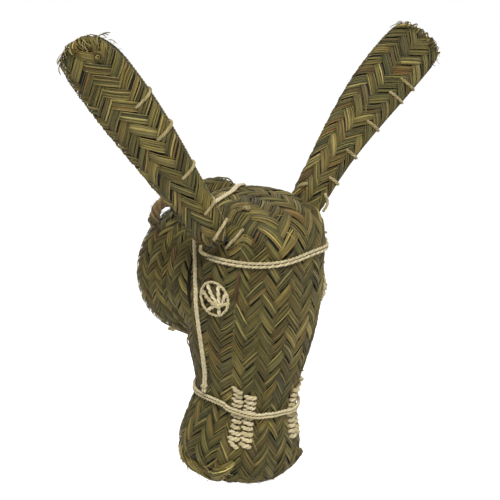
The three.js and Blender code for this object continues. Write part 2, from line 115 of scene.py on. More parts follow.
# ---- colours of dry esparto, linear ----
GRASS = [
    (0.140, 0.107, 0.019), (0.099, 0.080, 0.014), (0.194, 0.150, 0.033), (0.097, 0.092, 0.022),
    (0.065, 0.051, 0.009), (0.265, 0.203, 0.052), (0.122, 0.093, 0.016), (0.079, 0.078, 0.019),
]
RARE_GRASS = [(0.178, 0.082, 0.013), (0.119, 0.056, 0.009), (0.410, 0.326, 0.101)]
# Near-black painted shade for the plait's under-layer, seen in the gaps between strands.
UNDERSIDE_SHADE = (0.010, 0.007, 0.003)
CREAM = [(0.62, 0.52, 0.29), (0.53, 0.44, 0.23), (0.70, 0.60, 0.37)]
STRAW = [(0.36, 0.28, 0.115), (0.29, 0.22, 0.08), (0.44, 0.36, 0.17)]
ROPE = [(0.23, 0.145, 0.045), (0.15, 0.09, 0.027), (0.30, 0.21, 0.08), (0.09, 0.05, 0.015)]
BROWN = [(0.16, 0.078, 0.02), (0.115, 0.053, 0.013), (0.20, 0.11, 0.033)]

AZIMUTH, ELEVATION = math.radians(-34), math.radians(13)     # of the front view
FRONT = np.array((math.sin(AZIMUTH) * math.cos(ELEVATION),
                  -math.cos(AZIMUTH) * math.cos(ELEVATION), math.sin(ELEVATION)))


# ======== small helpers ========
def unit(vectors):
    return vectors / np.maximum(np.linalg.norm(vectors, axis=-1, keepdims=True), 1e-12)


def vertices(*names):
    """All vertices of some CAD nodes as one array."""
    return np.array([v.co for name in names for v in frame["nodes"][name].data.vertices])


def tree_of(*names):
    points, faces = [], []
    for name in names:
        mesh = frame["nodes"][name].data
        base = len(points)
        points += [v.co.copy() for v in mesh.vertices]
        faces += [[base + i for i in p.vertices] for p in mesh.polygons]
    return BVHTree.FromPolygons(points, faces)


def outer_distance(tree, origin, direction, reach):
    """Distance from origin to the outermost surface along direction, or nan if nothing is there."""
    hit = tree.ray_cast(Vector(origin + direction * reach), Vector(-direction), reach)
    return reach - hit[3] if hit[0] is not None else math.nan


def fill_gaps(grid):
    """Replaces each nan by the nearest number in its column, then in its row."""
    for lines in (grid.T, grid):
        for line in lines:
            known = np.flatnonzero(~np.isnan(line))
            if len(known):
                line[:] = np.interp(np.arange(len(line)), known, line[known])
    return grid


def smooth(grid, times, wrap=False):
    """Softens the CAD facets by a small blur along both ways of a grid."""
    for _ in range(times):
        padded = np.pad(grid, ((1, 1), (0, 0)), mode="edge")
        grid = (padded[:-2] + 2 * padded[1:-1] + padded[2:]) / 4
        padded = np.pad(grid, ((0, 0), (1, 1)), mode="wrap" if wrap else "edge")
        grid = (padded[:, :-2] + 2 * padded[:, 1:-1] + padded[:, 2:]) / 4
    return grid


def catmull(t):
    """The four weights of a cubic through evenly spaced values."""
    return (-0.5 * t + t**2 - 0.5 * t**3, 1 - 2.5 * t**2 + 1.5 * t**3,
            0.5 * t + 2 * t**2 - 1.5 * t**3, -0.5 * t**2 + 0.5 * t**3)


def soften(values):
    """A small blur along a row of numbers."""
    return np.convolve(np.pad(values, 1, "edge"), (0.25, 0.5, 0.25), "valid")


def box_middle(points):
    return (points.min(0) + points.max(0)) / 2


def hinge_of(child, node):
    """A body's joint, its place, its axis x, and z from there to a node, square to x."""
    joint = next(j for j in frame["joints"] if j["child"] == child)
    origin = np.array(joint["pos_m"], float)
    x = unit(np.array(joint["axis"], float))
    along = vertices(node).mean(0) - origin
    return joint, origin, x, unit(along - x * (along @ x))


def ease(x, low, high):
    t = np.clip((x - low) / (high - low), 0, 1)
    return t * t * (3 - 2 * t)


# ======== sheets: curved surfaces that plaits lie on ========
class Sheet:
    """A surface on a grid of points, shape (along, across, 3). Both ways run from 0 to 1.

    Past its edges the sheet turns down over a small radius, as strands do at a plait's edge.
    """

    def __init__(self, points, inside, closed=False, even=False):
        self.points = even_across(points) if even else points
        self.closed = closed          # the along direction joins up with itself
        self.flip = 1.0
        middle = self._surface(np.array([0.5]), np.array([0.5]))
        self.flip = 1.0 if middle[1][0] @ (middle[0][0] - inside) >= 0 else -1.0
        self.width = np.linalg.norm(np.diff(self.points, axis=1), axis=2).sum(1).mean()
        loop = np.concatenate([self.points, self.points[:1]]) if closed else self.points
        self.length = np.linalg.norm(np.diff(loop, axis=0), axis=2).sum(0).mean()

    def _raw(self, across, along):
        rows, columns = self.points.shape[:2]
        x = np.clip(across, 0, 1) * (columns - 1)
        y = along * rows if self.closed else np.clip(along, 0, 1) * (rows - 1)
        ix = np.minimum(np.floor(x), columns - 2).astype(int)
        iy = np.floor(y).astype(int)
        if not self.closed:
            iy = np.minimum(iy, rows - 2)
        out = 0
        for dy, wy in zip(range(-1, 3), catmull(y - iy)):
            row = (iy + dy) % rows if self.closed else np.clip(iy + dy, 0, rows - 1)
            for dx, wx in zip(range(-1, 3), catmull(x - ix)):
                column = np.clip(ix + dx, 0, columns - 1)
                out = out + self.points[row, column] * (wx * wy)[:, None]
        return out

    def _surface(self, across, along):
        """Points, normals and the two unit directions of the sheet."""
        step = 0.008
        du = self._raw(across + step, along) - self._raw(across - step, along)
        dv = self._raw(across, along + step) - self._raw(across, along - step)
        normals = unit(np.cross(du, dv)) * self.flip
        return self._raw(across, along), normals, unit(du), unit(dv)

    def at(self, across, along, lift=0.0):
        """Points and normals of the sheet, moved off it by lift."""
        shape = np.shape(across)
        u, v = np.ravel(across), np.ravel(np.broadcast_to(along, shape))
        points, normals, du, dv = self._surface(u, v)
        past_u = (u - np.clip(u, 0, 1)) * self.width
        past_v = np.zeros_like(v) if self.closed else (v - np.clip(v, 0, 1)) * self.length
        for past, way in ((past_u, du), (past_v, dv)):
            turn = np.minimum(np.abs(past) / EDGE_RADIUS, 1.5)
            way = way * np.sign(past)[:, None]
            drop = EDGE_RADIUS * (1 - np.cos(turn)) + np.abs(past) - EDGE_RADIUS * turn
            points = points + way * (EDGE_RADIUS * np.sin(turn))[:, None] - normals * drop[:, None]
            normals = normals * np.cos(turn)[:, None] + way * np.sin(turn)[:, None]
        points = points + normals * np.ravel(np.broadcast_to(lift, shape))[:, None]
        return points.reshape(*shape, 3), normals.reshape(*shape, 3)

    def inner_side(self, depth):
        """The other face of the plait, seen from behind, at a depth below this one."""
        rows, columns = self.points.shape[:2]
        u, v = np.meshgrid(np.linspace(0, 1, columns),
                           np.arange(rows) / (rows if self.closed else rows - 1))
        points, _ = self.at(u, v, -depth)
        other = Sheet(points, points.mean((0, 1)), self.closed)
        other.flip = -self.flip
        return other


def even_across(points):
    """Spaces the points of each row evenly by length."""
    out = np.empty_like(points)
    for row, line in enumerate(points):
        length = np.concatenate([[0], np.cumsum(np.linalg.norm(np.diff(line, axis=0), axis=1))])
        wanted = np.linspace(0, length[-1], len(line))
        for axis in range(3):
            out[row, :, axis] = np.interp(wanted, length, line[:, axis])
    return out


# ======== tubes: grass blades and plies, many in one mesh ========
BLADE_SECTION = np.array([(-1.0, 0.0), (-0.45, 0.85), (0.45, 0.85), (1.0, 0.0), (0.0, -0.75)])
ROUND_SECTION = np.array([(math.cos(a), math.sin(a)) for a in np.arange(7) * TAU / 7])
HAIR_SECTION = np.array([(math.cos(a), math.sin(a)) for a in np.arange(3) * TAU / 3])
CELL_FILL = 0.94          # share of its atlas cell that a tube or a face fills


class Bundle:
    """Collects tubes and skins of one piece, then becomes one mesh."""

    def __init__(self):
        self.points, self.colours, self.strands = [], [], []
        self.faces, self.sizes, self.strips = [], [], []
        self.count = 0

    def tubes(self, paths, normals, widths, heights, section, colours, rng, roll=0.0):
        """Closed tubes along paths (tubes, steps, 3), lying flat on the normals.

        There is one colour for each tube, or one for each of its steps.
        """
        number, steps = paths.shape[:2]
        around = len(section)
        if not number:
            return
        tangents = unit(np.gradient(paths, axis=1))
        sides = unit(np.cross(tangents, normals))
        ups = np.cross(sides, tangents)
        sides, ups = (sides * np.cos(roll) + ups * np.sin(roll),
                      ups * np.cos(roll) - sides * np.sin(roll))
        ring = (paths[:, :, None]
                + sides[:, :, None] * (widths[:, :, None] * section[:, 0])[..., None]
                + ups[:, :, None] * (heights[:, :, None] * section[:, 1])[..., None])
        index = self.count + np.arange(number * steps * around).reshape(number, steps, around)
        here, after = index[:, :-1], index[:, 1:]
        quads = np.stack([here, np.roll(here, -1, 2), np.roll(after, -1, 2), after], -1)
        caps = np.concatenate([index[:, 0, ::-1], index[:, -1]])
        length = np.linalg.norm(np.diff(paths, axis=1), axis=2).cumsum(1)
        length = np.concatenate([np.zeros((number, 1)), length], 1)
        tag = rng.uniform(0, 50 * MM, number)
        self.points.append(ring.reshape(-1, 3))
        if colours.ndim == 2:
            colours = np.repeat(colours[:, None], steps, 1)
        self.colours.append(np.repeat(colours.reshape(-1, 3), around, 0))
        strand = np.stack(np.broadcast_arrays(
            section[None, None, :, 0] * widths[:, :, None], length[:, :, None],
            tag[:, None, None]), -1)
        self.strands.append(strand.reshape(-1, 3))
        self.faces += [quads.ravel(), caps.ravel()]
        self.sizes += [np.full(quads.size // 4, 4), np.full(len(caps), around)]
        self.strips.append((number, steps - 1, around))
        self.count += number * steps * around

    def skin(self, outer, inner, colour, closed):
        """A skin round two grids of points, shape (along, across, 3). Closed: along joins up."""
        rows, columns = outer.shape[:2]
        top = self.count + np.arange(rows * columns).reshape(rows, columns)
        low = top + rows * columns
        if closed:
            top, low = np.vstack([top, top[:1]]), np.vstack([low, low[:1]])

        def face(a):
            return np.stack([a[:-1, :-1], a[:-1, 1:], a[1:, 1:], a[1:, :-1]], -1).reshape(-1, 4)

        def wall(a, b):
            return np.stack([a[:-1], a[1:], b[1:], b[:-1]], -1).reshape(-1, 4)

        faces = [face(top), face(low)[:, ::-1], wall(top[:, 0], low[:, 0]),
                 wall(low[:, -1], top[:, -1])]
        if not closed:
            faces += [wall(low[0], top[0]), wall(top[-1], low[-1])]
        faces = np.concatenate(faces)
        self.points += [outer.reshape(-1, 3), inner.reshape(-1, 3)]
        self.colours.append(np.tile(colour, (2 * rows * columns, 1)))
        self.strands += [outer.reshape(-1, 3), inner.reshape(-1, 3)]
        self.faces.append(faces.ravel())
        self.sizes.append(np.full(len(faces), 4))
        self.strips.append((len(faces), 0, 4))
        self.count += 2 * rows * columns

    def unwrap(self):
        """Places each tube, and each face of a skin, in its own cell of a square atlas.

        A strip is a number of tubes with their steps and sides, or of faces with no steps.
        """
        weights = np.array([n * max(steps, 1) * (around if steps else 1)
                            for n, steps, around in self.strips], float)
        tops = np.concatenate([[0], np.cumsum(weights / weights.sum())])
        uvs = []
        for (number, steps, around), low, high in zip(self.strips, tops[:-1], tops[1:]):
            tall = high - low
            aspect = steps / around if steps else 1.0
            deep = int(np.clip(round(math.sqrt(number * tall * aspect)), 1, number))
            wide = math.ceil(number / deep)
            cell = np.arange(number)
            corner = np.stack([cell % wide / wide, low + tall * (cell // wide) / deep], -1)
            size = np.array([CELL_FILL / wide, CELL_FILL * tall / deep])
            if not steps:
                local = np.array([(0, 0), (1, 0), (1, 1), (0, 1)])
                uvs.append((corner[:, None] + local * size).reshape(-1, 2))
                continue
            i, j = np.meshgrid(np.arange(steps), np.arange(around), indexing="ij")
            local = np.stack([np.stack([(i + a) / steps, (j + b) / around], -1)
                              for a, b in ((0, 0), (0, 1), (1, 1), (1, 0))], -2)
            uvs.append((corner[:, None, None, None] + local * size).reshape(-1, 2))
            uvs.append(np.repeat(np.concatenate([corner, corner]), around, 0))
        return np.concatenate(uvs)

    def piece(self, node, material, slot, name, bends=None):
        """Makes the mesh object, which stands for its CAD node and rides on the node's body.

        A piece given bends, as a stitch between an ear and the head, is put on no body.
        """
        mesh = bpy.data.meshes.new(name)
        sizes = np.concatenate(self.sizes)
        loops = np.concatenate(self.faces)
        mesh.vertices.add(self.count)
        mesh.vertices.foreach_set("co", np.concatenate(self.points).astype(np.float32).ravel())
        mesh.loops.add(len(loops))
        mesh.loops.foreach_set("vertex_index", loops.astype(np.int32))
        mesh.polygons.add(len(sizes))
        starts = np.concatenate([[0], np.cumsum(sizes)[:-1]])
        mesh.polygons.foreach_set("loop_start", starts.astype(np.int32))
        mesh.update(calc_edges=True)
        mesh.shade_smooth()
        colour = mesh.attributes.new("grass_colour", "FLOAT_COLOR", "POINT")
        rgba = np.ones((self.count, 4), np.float32)
        rgba[:, :3] = np.concatenate(self.colours)
        colour.data.foreach_set("color", rgba.ravel())
        strand = mesh.attributes.new("strand", "FLOAT_VECTOR", "POINT")
        strand.data.foreach_set("vector", np.concatenate(self.strands).astype(np.float32).ravel())
        uv = mesh.uv_layers.new(name="OFBake")
        uv.data.foreach_set("uv", self.unwrap().astype(np.float32).ravel())
        mesh.materials.append(material)
        piece = bpy.data.objects.new(name, mesh)
        bpy.context.scene.collection.objects.link(piece)
        if bends:
            bends.out((0, 0, -8 * MM))
            bends.out((0, 0, 2 * MM))
            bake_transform(piece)
        else:
            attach(piece, frame["nodes"][node]["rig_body"])
        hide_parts(node)


# ======== plaiting ========
def pick_colours(rng, number, palette=GRASS, rarity=0.15, spread=0.32):
    """One colour for each blade: mostly the palette, now and then a brown or a bleached one."""
    colours = np.array(palette)[rng.integers(len(palette), size=number)]
    odd = rng.random(number) < rarity
    colours[odd] = np.array(RARE_GRASS)[rng.integers(len(RARE_GRASS), size=odd.sum())]
    return colours * rng.normal(1, spread, (number, 1)).clip(0.45, 1.6)


def plait(bundle, sheet, columns, rows, rng, keep=None, tone=1.0, blades=BLADES, steps=8):
    """Lays the visible floats of a flat plait on a sheet.

    The zigzag columns run along the sheet. In even columns the strands fall to one side and in odd
    columns to the other, and each float dives under the floats of the next column at both ends.
    For each blade, across is its place in the strand, from -0.5 to 0.5, and t runs along it, from
    0 to 1 where it shows. sunk is 0 at a float's middle and 1 at its hidden ends.
    """
    column, row = np.meshgrid(np.arange(columns), np.arange(-1, rows + 1), indexing="ij")
    column, row = column.ravel(), row.ravel() + 0.5 * (column.ravel() % 2)
    fits = (row >= 0) & (row < rows) if sheet.closed else (row > -0.8) & (row < rows - 0.2)
    column, row = column[fits], row[fits]
    floats = len(column)
    number = floats * blades
    strand_colour = pick_colours(rng, floats, rarity=0.05, spread=0.2)

    def each(values):
        return np.repeat(values, blades, 0)

    across = np.tile(np.arange(blades) + 0.5, floats) / blades - 0.5
    across = (across * SPREAD + rng.normal(0, 0.024, number))[:, None]
    t = np.linspace(-OVERREACH, 1 + OVERREACH, steps)[None] + rng.normal(0, 0.02, (number, 1))
    swell = np.sin(np.clip(t, 0, 1) * math.pi)
    bow = (rng.normal(0, 0.03, (number, 1)) + each(rng.normal(0, 0.05, (floats, 1)))) * swell
    x = each(column)[:, None] + np.where(each(column % 2 == 0)[:, None], t, 1 - t)
    y = each(row)[:, None] + t + across * (0.92 + 0.08 * swell) + bow
    from_middle = np.abs(2 * t - 1)
    sunk = from_middle / (1 + 2 * OVERREACH)
    height = CROWNING - DIVE * sunk**2.3 - DOMING * across**2
    height = height - TILT * across * np.sign(t - 0.5) * ease(from_middle, 0.35, 1.15)
    height = height + rng.normal(0, UNEVEN, (number, 1))
    paths, normals = sheet.at(x / columns, y / rows, height)
    spacing = strand_spacing(sheet, x[:, steps // 2], y[:, steps // 2], columns, rows)
    spacing = np.minimum(spacing, WIDEST * np.median(spacing))
    colour = STRAND_TINT * each(strand_colour) + (1 - STRAND_TINT) * pick_colours(rng, number)
    # Painted shade: each blade darkens towards its ends, where it dives under the next strands.
    shade = 1 - DIVE_SHADE * sunk**2.5
    colour = colour[:, None] * shade[..., None]
    roll = rng.normal(0, 0.16, (number, 1, 1)) + 0.5 * across[..., None]
    slim = 1 - SLIMMING * sunk**3
    width = 0.5 * spacing[:, None] / blades * OVERLAP * slim
    width = width * rng.normal(1, 0.3, (number, 1)).clip(0.45, 1.6)
    kept = np.ones(number, bool) if keep is None else keep(paths[:, steps // 2])
    bundle.tubes(paths[kept], normals[kept], width[kept], width[kept] * 0.5, BLADE_SECTION,
                 colour[kept] * tone, rng, roll[kept])


def strand_spacing(sheet, x, y, columns, rows):
    """Width of a strand, square to its run, at points of the plait."""
    u, v = x / columns, y / rows
    step = 0.02
    wide = np.linalg.norm(sheet.at(u + step, v)[0] - sheet.at(u - step, v)[0], axis=1)
    tall = np.linalg.norm(sheet.at(u, v + step)[0] - sheet.at(u, v - step)[0], axis=1)
    wide, tall = wide / (2 * step * columns), tall / (2 * step * rows)
    return wide * tall / np.hypot(wide, tall)


def shade_skin(bundle, sheet, outer, inner, closed):
    """A skin in near-black painted shade, whose faces look out on the side where the sheet's plait
    lies.
    """
    if sheet.flip < 0:
        outer, inner = outer[:, ::-1], inner[:, ::-1]
    bundle.skin(outer, inner, UNDERSIDE_SHADE, closed)


def backing(bundle, sheet, thickness=1.6 * MM, past=2 * MM, across=24, along=48):
    """The underlayer that shows in the gaps between strands, turned over at the edges, in
    near-black painted shade.
    """
    past_u, past_v = past / sheet.width, past / sheet.length
    u = np.linspace(-past_u, 1 + past_u, across)
    v = np.arange(along) / along if sheet.closed else np.linspace(-past_v, 1 + past_v, along)
    u, v = np.meshgrid(u, v)
    outer, inner = sheet.at(u, v, -UNDER)[0], sheet.at(u, v, -UNDER - thickness)[0]
    shade_skin(bundle, sheet, outer, inner, sheet.closed)


def plaited(bundle, sheet, rng, column=COLUMN, row=ROW, strays=0, **options):
    """A sheet's dark underlayer, its plait and some stray blades."""
    columns = max(1, round(sheet.width / column))
    backing(bundle, sheet)
    plait(bundle, sheet, columns, max(2, round(sheet.length / row)), rng, **options)
    if strays:
        stray_blades(bundle, sheet, strays, rng)


def stray_blades(bundle, sheet, number, rng):
    """Loose ends that stand a little off the plait."""
    u, v = rng.uniform(0.02, 0.98, number), rng.uniform(0.02, 0.98, number)
    roots, normals = sheet.at(u, v, 0.3 * MM)
    aside, _ = sheet.at(u + 0.03 * rng.choice([-1, 1], number),
                        v + 0.03 * rng.uniform(0.2, 1, number))
    reach = 13 * MM * rng.uniform(0.4, 1.2, number)
    curl(bundle, roots, unit(aside - roots), normals, reach, rng)


def curl(bundle, roots, lean, normals, reach, rng, colours=None, width=0.34 * MM, rise=0.35,
         sag=0.0):
    """Thin blades that leave roots along lean, and bend away along the normals."""
    number = len(roots)
    t = np.linspace(0, 1, 6)[None, :, None]
    rise = rng.uniform(0.1, 1, (number, 1, 1)) * rise
    swerve = np.cross(lean, normals)[:, None] * rng.normal(0, 0.25, (number, 1, 1))
    paths = roots[:, None] + reach[:, None, None] * (
        lean[:, None] * (t - sag * t**2) + normals[:, None] * rise * (t**1.5 - sag * t**3)
        + swerve * t**2)
    taper = (1 - 0.75 * np.linspace(0, 1, 6) ** 2)[None]
    widths = width * rng.uniform(0.6, 1.3, (number, 1)) * taper
    if colours is None:
        colours = pick_colours(rng, number, rarity=0.4) * 1.2
    bundle.tubes(paths, normals[:, None] + 0 * paths, widths, widths * 0.7, HAIR_SECTION, colours,
                 rng)


# ======== cords ========
def resample(path, step):
    """Points evenly spaced along a smooth curve through the path, and its length."""
    path = np.asarray(path)
    fine = []
    t = np.linspace(0, 1, 10, endpoint=False)
    for i in range(len(path) - 1):
        around = path[np.clip([i - 1, i, i + 1, i + 2], 0, len(path) - 1)]
        fine.append(sum(w[:, None] * p for w, p in zip(catmull(t), around)))
    fine = np.vstack([*fine, path[-1:]])
    length = np.concatenate([[0], np.cumsum(np.linalg.norm(np.diff(fine, axis=0), axis=1))])
    wanted = np.linspace(0, length[-1], max(4, round(length[-1] / step) + 1))
    return np.stack([np.interp(wanted, length, fine[:, k]) for k in range(3)], -1), length[-1]


def carried_normals(path):
    """Normals that run along a path without twisting."""
    tangents = unit(np.gradient(path, axis=0))
    up = np.cross(tangents[0], (0.31, 0.57, 0.76))
    ups = []
    for tangent in tangents:
        up = up - tangent * (up @ tangent)
        up = up / np.linalg.norm(up)
        ups.append(up)
    return np.array(ups), tangents


def twisted_cord(bundle, path, radius, rng, palette=CREAM, plies=2, pitch=5.4, hairs=0.4,
                 step=0.5, lay=0.46, hair=HAIR):
    """A cord of plies laid round each other, with hairs: hairs is their number per mm.

    As shares of the radius, pitch is the length of a full turn, step is the distance between
    rings, and lay is how far out the plies lie. Thicker hairs are longer too.
    """
    path, length = resample(path, radius * step)
    ups, tangents = carried_normals(path)
    sides = np.cross(tangents, ups)
    count = len(path)
    along = np.linspace(0, length, count)
    turn = along / (radius * pitch) * TAU + 0.5 * np.sin(along / (14 * radius) + rng.uniform(0, 6))
    for ply in range(plies):
        phase = turn + TAU * ply / plies
        out = sides * np.cos(phase)[:, None] + ups * np.sin(phase)[:, None]
        centre = path + out * radius * lay
        wobble = 1 + 0.07 * np.sin(along / (5 * radius) + rng.uniform(0, 6))
        width = radius * (1.04 - lay) * wobble
        width[[0, -1]] *= 0.55
        colour = np.array(palette)[rng.integers(len(palette))] * rng.uniform(0.88, 1.1)
        bundle.tubes(centre[None], carried_normals(centre)[0][None], width[None], width[None],
                     ROUND_SECTION, colour[None], rng)
    number = int(length / MM * hairs)
    at = rng.integers(1, count - 1, number)
    angle = rng.uniform(0, TAU, number)
    normals = sides[at] * np.cos(angle)[:, None] + ups[at] * np.sin(angle)[:, None]
    lean = tangents[at] * rng.choice([-1, 1], number)[:, None]
    tints = np.array(palette)[rng.integers(len(palette), size=number)] * 1.1
    curl(bundle, path[at] + normals * radius * 0.75, lean, normals,
         rng.uniform(1.0, 4.0, number) * MM + 20 * (hair - HAIR), rng, tints, width=hair,
         rise=0.8)


def finish_cord(bundle, node, slot, bends=None):
    bundle.piece(node, CORD_MATERIAL, slot, node + "_twisted", bends)


def cord_piece(node, paths, radius, seed, slot, bends=None, **options):
    """One CAD cord as twisted cord along some paths. With bends, as between an ear and the head, it
    is put on no body.
    """
    rng = np.random.default_rng(seed)
    bundle = Bundle()
    for path in paths:
        twisted_cord(bundle, path, radius, rng, **options)
    finish_cord(bundle, node, slot, bends)


def trace(points, key, bins, closed=False):
    """Centre line of a cord: the middle of its vertices in each stretch of a running key."""
    cuts = np.linspace(key.min(), key.max() + 1e-9, bins + 1)
    line = []
    for low, high in zip(cuts[:-1], cuts[1:]):
        inside = points[(key >= low) & (key < high)]
        if len(inside):
            line.append(box_middle(inside))
    return np.array(line + line[:1] if closed else line)


# ======== the head's own frame ========
CROWN_CENTRE = vertices("crown_cap").mean(0)
SOLE_CENTRE = vertices("muzzle_sole_coil").mean(0)
RIGHTWARD = np.array((1.0, 0.0, 0.0))
DOWN = unit((SOLE_CENTRE - CROWN_CENTRE) * (0, 1, 1))
FORWARD = np.cross(DOWN, RIGHTWARD)
AXIS = CROWN_CENTRE * (0, 1, 1)
INSIDE = AXIS + DOWN * 0.12           # a point inside the head
SEAM_RADIUS = 0.078                   # from the head's axis to its seams
HEAD_REACH = 0.15                     # farther out than any part of the bands
HOLLOW = 0.03                         # nothing of the bands lies nearer to the axis
HEAD_BANDS = ("face_band", "right_cheek_band", "left_cheek_band", "back_band")


def head_polar(points):
    """Angle from straight ahead (negative on the animal's right), station down the axis, radius."""
    away = points - AXIS
    side, ahead = away @ RIGHTWARD, away @ FORWARD
    return np.arctan2(side, ahead), away @ DOWN, np.hypot(side, ahead)


def head_out(angle):
    return np.sin(angle)[..., None] * RIGHTWARD + np.cos(angle)[..., None] * FORWARD


class HeadSurface:
    """Radius of the head's outside by angle and station, read off the CAD bands."""

    def __init__(self, angles=120, stations=80):
        tree = tree_of(*HEAD_BANDS)
        _, station, _ = head_polar(vertices(*HEAD_BANDS))
        self.low, self.high = station.min(), station.max()
        radius = np.empty((stations, angles))
        outs = head_out(np.arange(angles) * TAU / angles)
        for i, s in enumerate(np.linspace(self.low, self.high, stations)):
            for j, out in enumerate(outs):
                radius[i, j] = outer_distance(tree, AXIS + DOWN * s, out, HEAD_REACH)
        radius[radius < HOLLOW] = np.nan
        self.radius = smooth(fill_gaps(radius), 2, wrap=True)

    def radius_at(self, angle, station):
        rows, columns = self.radius.shape
        x = (angle / TAU % 1) * columns
        y = np.clip((station - self.low) / (self.high - self.low), 0, 1) * (rows - 1)
        ix, iy = np.floor(x).astype(int), np.minimum(np.floor(y).astype(int), rows - 2)
        out = 0
        for dy, wy in zip(range(-1, 3), catmull(y - iy)):
            for dx, wx in zip(range(-1, 3), catmull(x - ix)):
                row, column = np.clip(iy + dy, 0, rows - 1), (ix + dx) % columns
                out = out + self.radius[row, column] * wx * wy
        return out

    def at(self, angle, station, lift=0.0):
        angle, station = np.broadcast_arrays(angle, station)
        radius = self.radius_at(angle, station) + lift
        return AXIS + DOWN * station[..., None] + head_out(angle) * radius[..., None]


HEAD = HeadSurface()


def edge_fit(pick, bins=36):
    """The station of the bands' upper or lower edge by angle, as a fitted wave."""
    angle, station, _ = head_polar(vertices(*HEAD_BANDS))
    slot = np.floor((angle + math.pi) / TAU * bins).astype(int)
    used = np.unique(slot)
    extremes = np.array([pick(station[slot == k]) for k in used])
    middles = (used + 0.5) / bins * TAU - math.pi
    waves = np.stack([np.ones_like(middles), np.cos(middles), np.cos(2 * middles)], -1)
    share = np.linalg.lstsq(waves, extremes, rcond=None)[0]
    return lambda a: share[0] + share[1] * np.cos(a) + share[2] * np.cos(2 * a)


TOP_EDGE = edge_fit(np.min)
LOW_EDGE = edge_fit(np.max)


def seam_line(node):
    """Angle of a lengthwise seam by station."""
    angle, station, _ = head_polar(trace(vertices(node), head_polar(vertices(node))[1], 14))
    return lambda s: np.interp(s, station, angle)


SEAMS = {name: seam_line(name + "_seam_cord")
         for name in ("right_face", "left_face", "right_back", "left_back")}
BAND_SIDES = {
    "face_band": ("right_face", "left_face", 0.0),
    "right_cheek_band": ("right_back", "right_face", 0.0),
    "left_cheek_band": ("left_face", "left_back", 0.0),
    "back_band": ("left_back", "right_back", TAU),
}
SEAM_OVERLAP = 1.8 * MM               # how far neighbouring bands reach over their seam


def band_points(node, rows=44, columns=24):
    """The outside of one lengthwise band of the head, from seam to seam and from rim to mouth."""
    first, last, turn = BAND_SIDES[node]
    u, v = np.meshgrid(np.linspace(0, 1, columns), np.linspace(0, 1, rows))
    rough = HEAD.low + (HEAD.high - HEAD.low) * v
    a, b = SEAMS[first](rough), SEAMS[last](rough) + turn
    over = SEAM_OVERLAP / SEAM_RADIUS
    angle = (a - over) * (1 - u) + (b + over) * u
    top, low = TOP_EDGE(angle), LOW_EDGE(angle)
    return HEAD.at(angle, top + (low - top) * v, -INSET)


# ======== the crown: the face plait goes on over the rim and swings round to the poll ========
FAN_ROWS = 9                          # rows of strands on the crown
FAN_RIGHT_END = math.radians(-105)    # where the plait's right edge ends on the rim
FAN_LEFT_END = math.radians(220)      # where its left edge ends, having run round the back
FAN_BULGE = (0.5, -0.046)             # how far its rows bow forwards, at the rim and at the end
DOME_SHARE = 0.985                    # share of the rim's radius where the dome is cast
FAN_JOIN = 0.15                       # share of its length, at each end, that fits on the rim
FAN_HEIGHT = 0.08                     # farther above the crown's middle than any part of it


def fan_plan(u, v):
    """Angle and share of the rim's radius: v runs from the face's rim to the plait's end."""
    first = SEAMS["right_face"](HEAD.low) * (1 - v) + FAN_RIGHT_END * v
    last = SEAMS["left_face"](HEAD.low) * (1 - v) + FAN_LEFT_END * v
    start = np.stack([np.sin(first), np.cos(first)], -1)
    chord = np.stack([np.sin(last), np.cos(last)], -1) - start
    ahead = unit(np.stack([-chord[..., 1], chord[..., 0]], -1))
    bow = (FAN_BULGE[0] * (1 - v) ** 1.5 + FAN_BULGE[1] * v**1.5) * 4 * u * (1 - u)
    place = start + chord * u[..., None] + ahead * bow[..., None]
    at_face, at_end = np.clip(1 - v / FAN_JOIN, 0, 1), np.clip(1 - (1 - v) / FAN_JOIN, 0, 1)
    share = np.linalg.norm(place, axis=-1) ** (1 - np.maximum(at_face, at_end))
    angle = np.arctan2(place[..., 0], place[..., 1])
    return angle * (1 - at_face) + (first + (last - first) * u) * at_face, np.minimum(share, 1)


def fan_points(rows=34, columns=24):
    """The face plait on the crown, from its end back to the rim of the face."""
    tree = tree_of("crown_cap")
    u, v = np.meshgrid(np.linspace(0, 1, columns), np.linspace(1, 0, rows))
    angle, share = fan_plan(u, v)
    rim_station = TOP_EDGE(angle)
    rim = HEAD.radius_at(angle, rim_station) - INSET
    out = head_out(angle) * rim[..., None]
    station = np.full(u.shape, np.nan)
    for place in np.ndindex(u.shape):
        start = AXIS + out[place] * min(share[place], DOME_SHARE) - DOWN * FAN_HEIGHT
        hit = tree.ray_cast(Vector(start), Vector(DOWN), 2 * FAN_HEIGHT)
        if hit[0] is not None:
            station[place] = hit[3] - FAN_HEIGHT + INSET
    station = smooth(fill_gaps(station), 1)
    edge = np.clip((share - DOME_SHARE) / (1 - DOME_SHARE), 0, 1)
    station = station * (1 - edge) + rim_station * edge
    return AXIS + out * share[..., None] + DOWN * station[..., None]


def on_crown(points):
    angle, station, _ = head_polar(points)
    return station < TOP_EDGE(angle) - 1 * MM


def settle(line, on_top, rest=3.2 * MM, above=0.05):
    """How far down each point of a line over the crown goes until it rests on the plait."""
    grid = fan_points()
    rows, columns = grid.shape[:2]
    corners = np.arange(rows * columns).reshape(rows, columns)
    quads = np.stack([corners[:-1, :-1], corners[:-1, 1:], corners[1:, 1:], corners[1:, :-1]], -1)
    tree = BVHTree.FromPolygons(grid.reshape(-1, 3).tolist(), quads.reshape(-1, 4).tolist())
    depth = np.zeros(len(line))
    for i in np.flatnonzero(on_top):
        hit = tree.ray_cast(line[i] - DOWN * above, DOWN)
        if hit[0] is not None:
            depth[i] = np.clip(hit[3] - above - rest, 0, 12 * MM)
    return soften(depth)


# ======== materials ========
def new_material(name):
    material = bpy.data.materials.new(name)
    material.use_nodes = True
    tree = material.node_tree
    tree.nodes.clear()
    output = tree.nodes.new("ShaderNodeOutputMaterial")
    shader = tree.nodes.new("ShaderNodeBsdfPrincipled")
    tree.links.new(shader.outputs[0], output.inputs[0])
    return material, tree, shader


